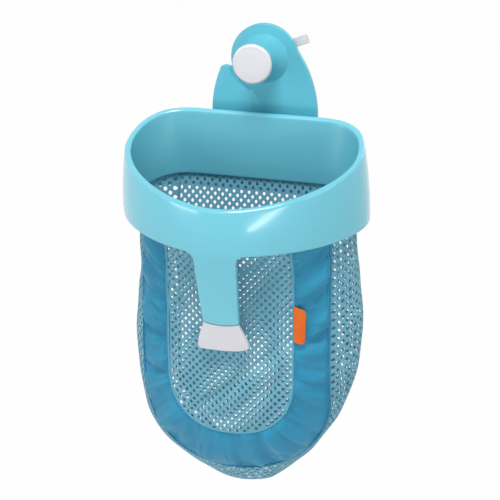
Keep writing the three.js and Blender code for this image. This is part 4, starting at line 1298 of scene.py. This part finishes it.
inner_line = u_line(WINDOW, WINDOW_TOP, WOVEN_STEPS + 1, 0.6)
outer_line = u_line(PANEL, PANEL_TOP, WOVEN_STEPS + 1)
woven = bmesh.new()
bmesh.ops.create_grid(woven, x_segments=WOVEN_STEPS, y_segments=WOVEN_ACROSS, size=0.5)
lifts, flat = {}, {}
for vert in woven.verts:
    share, across = vert.co.x + 0.5, vert.co.y + 0.5
    i = round(share * WOVEN_STEPS)
    spot = inner_line[i].lerp(outer_line[i], across)
    x, z = spot.x, min(spot.y, top_edge(spot.x))
    flat[vert] = Vector((x, z))
    along = share * U_LENGTH + across * LEAN * math.cos(math.pi * share)
    near_label = ridge(x - SEWN_X, SEWN_WIDE) * ridge(z - SEWN_Z, SEWN_HIGH)
    edge_fade = min(1.0, across * 7, (1 - across) * 7) * (1 - SEWN_CALM * near_label)
    folds = woven_folds(along, across) - 0.4
    lifts[vert] = edge_fade * folds + math.sin(math.pi * across)
    vert.co = on_front(x, z)
turned_out(woven)
cloth_uv(woven, flat)
woven_area = sum(f.calc_area() for f in woven.faces) * MM * MM
lifted(woven, lifts)
woven_panel = piece(woven, "woven_u_panel", "scoop", woven_nylon)
walled(woven_panel, CLOTH_WALL)
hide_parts("bag_front_panel")


# %% Seam tapes along the cutting lines
TAPE_ACROSS = 6


def tape(name, node, material, cut, place, size, steps, wave=0.0):
    """A domed tape along a cutting line; cut is the U and its top, size half width and height"""
    bm = bmesh.new()
    bmesh.ops.create_grid(bm, x_segments=steps, y_segments=TAPE_ACROSS, size=0.5)
    half_width, height = size
    sides = [2 * k / TAPE_ACROSS - 1 for k in range(TAPE_ACROSS + 1)]
    lines = [u_line(*cut, steps + 1, half_width * side) for side in sides]
    lifts = {}
    for vert in bm.verts:
        i, k = round((vert.co.x + 0.5) * steps), round((vert.co.y + 0.5) * TAPE_ACROSS)
        dome = height * (1 - sides[k] ** 2) ** 0.5
        lifts[vert] = 0.25 + dome + wave * math.sin(i * 1.6)
        vert.co = place(*lines[k][i])
    turned_out(bm)
    lifted(bm, lifts)
    made = walled(piece(bm, name, "scoop", material), CLOTH_WALL)
    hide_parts(node)
    return made


window_tape = tape(
    "window_tape", "window_binding", hem_tape,
    (WINDOW, WINDOW_TOP), under_rim, (1.2, 0.6), 300)
# Both seam tapes wear the darker cloth, which paints the shadow along the gathered seams
front_tape = tape(
    "front_seam_tape", "front_seam_binding", seam_cloth_painted_shadow,
    (PANEL, PANEL_TOP), under_rim, (1.1, 0.5), 360, 0.2)
back_tape = tape(
    "back_seam_tape", "back_seam_binding", seam_cloth_painted_shadow,
    (BACK, BAG_TOP), on_back, (1.4, 0.7), 360)

# %% Hem in the rim's channel
HEM_OUT, HEM_LOW, HEM_HIGH = 3.3, -1.4, 13.2
hem_line = grown(LEDGE, HEM_OUT)
hem_rows = [d_row(hem_line, raised(LEDGE_PLANE, rise)) for rise in (HEM_LOW, 3.0, 8.0, HEM_HIGH)]
hem_mesh = bmesh.new()
loft(hem_mesh, hem_rows)
bmesh.ops.recalc_face_normals(hem_mesh, faces=hem_mesh.faces)
hem_band = walled(piece(hem_mesh, "hem_band", "scoop", woven_nylon), 1.0, 0.0)
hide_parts("bag_hem")

# %% Blank orange label
TAB_WIDTH, TAB_HEIGHT, TAB_LIFT = 11.8, 40.0, 2.2
TAB_X, TAB_Z, TAB_REACH, TAB_LEAN, TAB_DROP = 67.2, -259.2, 12.2, 1.4, 3.6
tab = bmesh.new()
bmesh.ops.create_grid(tab, x_segments=12, y_segments=28, size=0.5)
lifts, flat = {}, {}
for vert in tab.verts:
    across, rise = vert.co.x + 0.5, vert.co.y + 0.5
    flat[vert] = Vector((TAB_WIDTH * across, TAB_HEIGHT * rise))
    rise = 0.5 + (rise - 0.5) * (1 - 0.05 * across ** 2 - 0.08 * across ** 8)
    across *= 1 - 0.10 * abs(2 * rise - 1) ** 6
    x = TAB_X + TAB_REACH * across - TAB_LEAN * across * (1 - rise)
    z = TAB_Z + TAB_HEIGHT * rise - TAB_DROP * across
    bulge = 3.2 * math.sin(2.3 * across) + 0.7 * math.sin(math.pi * rise) * across
    lifts[vert] = TAB_LIFT + bulge
    vert.co = on_front(x, z)
turned_out(tab)
cloth_uv(tab, flat)
lifted(tab, lifts)
label = softened(walled(piece(tab, "label_ribbon_tab", "scoop", label_ribbon), 1.0))
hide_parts("label_tab")

# %% [markdown]
# ## Stitches
# A lockstitch shows as a row of short threads that dip into the cloth at both ends. One tapered
# six-sided thread is made per stitch and laid along the seam line on the form.

# %% Rows of stitches
SINK, STAND, TAPER, FORWARD = -0.25, 0.3, 0.55, -60.0


def stitch(bm, start, end, out, thick):
    """One short thread between two points, its middle standing out from the cloth"""
    middle = (start + end) / 2 + out * STAND
    halves = [
        (start + out * SINK, middle, thick * TAPER, thick),
        (middle, end + out * SINK, thick, thick * TAPER),
    ]
    for a, b, near, far in halves:
        made = bmesh.ops.create_cone(
            bm, cap_ends=True, segments=6, radius1=near, radius2=far, depth=(b - a).length)
        turn = (b - a).to_track_quat("Z", "Y").to_matrix().to_4x4()
        move = Matrix.Translation((a + b) / 2) @ turn
        bmesh.ops.transform(bm, matrix=move, verts=made["verts"])


def stitched(bm, line, lift, length, gap, thick):
    """Stitches along a line of (width, height) points on the form's front, evenly spaced"""
    line = [on_front(*p) for p in line]
    count = int(length_of(line) / (length + gap))
    spots = evenly(line, count * 2 + 1)
    for start, end in zip(spots[::2], spots[1::2]):
        out = Vector(((start.x + end.x) / 2, FORWARD, 0.0)).normalized()
        reach = (end - start) * (length / (length + gap) * 2 - 1) / 2
        stitch(bm, start - reach + out * lift, end + reach + out * lift, out, thick)
    return count


threads = bmesh.new()
STITCH_TOP = -166.0
made = stitched(threads, u_line(WINDOW, STITCH_TOP, 301, 3.1), 1.3, 2.6, 1.4, 0.3)
made += stitched(threads, u_line(PANEL, STITCH_TOP, 361, -2.9), 1.0, 2.8, 1.6, 0.4)
print("stitches:", made)
seam_stitches = piece(threads, "seam_stitches", "scoop", seam_thread)

# %% [markdown]
# ## What was cut to what size
# Each cloth is listed with the size it was cut to, and printed. The U-shaped cuts are smaller than
# the rectangle around them, so their own area is given too. The folds are pressed in by code: a
# cloth simulation would have to hold some four thousand knitted holes, far finer than its grid could
# be.

# %% Sheets as cut
def cut_area(line):
    """Area inside a closed line of (width, height) points in millimetres, in square metres"""
    return abs(sum(a.x * b.y - b.x * a.y for a, b in zip(line, line[1:] + line[:1]))) / 2 * MM * MM


hem_length = length_of(hem_rows[0] + hem_rows[0][:1])
HEM_HEIGHT = HEM_HIGH - HEM_LOW
window_area = cut_area(u_line(WINDOW, WINDOW_TOP, 301))
back_area = cut_area(u_line(BACK, BACK_TOP, 301))
strip_area, hem_area = GUSSET_LENGTH * GUSSET_WIDTH * MM * MM, hem_length * HEM_HEIGHT * MM * MM
tab_area = TAB_WIDTH * TAB_HEIGHT * MM * MM
sheets = [  # piece, width and length in mm, how it is held, on what, its area, its trims
    (front_mesh, *WINDOW_SIZE, "stretched", "hem_band", window_area, [window_tape]),
    (back_mesh, *BACK_SIZE, "hung", "hem_band", back_area, [back_tape]),
    (gusset_mesh, GUSSET_LENGTH, GUSSET_WIDTH, "gathered", "hem_band", strip_area, []),
    (woven_panel, *PANEL_SIZE, "gathered", "hem_band", woven_area, [front_tape, seam_stitches]),
    (hem_band, hem_length, HEM_HEIGHT, "folded", "scoop_shell", hem_area, []),
    (label, TAB_WIDTH, TAB_HEIGHT, "folded", "woven_u_panel", tab_area, []),
]
for cloth, width, length, held, rests, area, trims in sheets:
    print(cloth.name, f"cut {width:.0f} x {length:.0f} mm, {area * 1e4:.1f} cm2")

# %% Size and end
low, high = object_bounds()
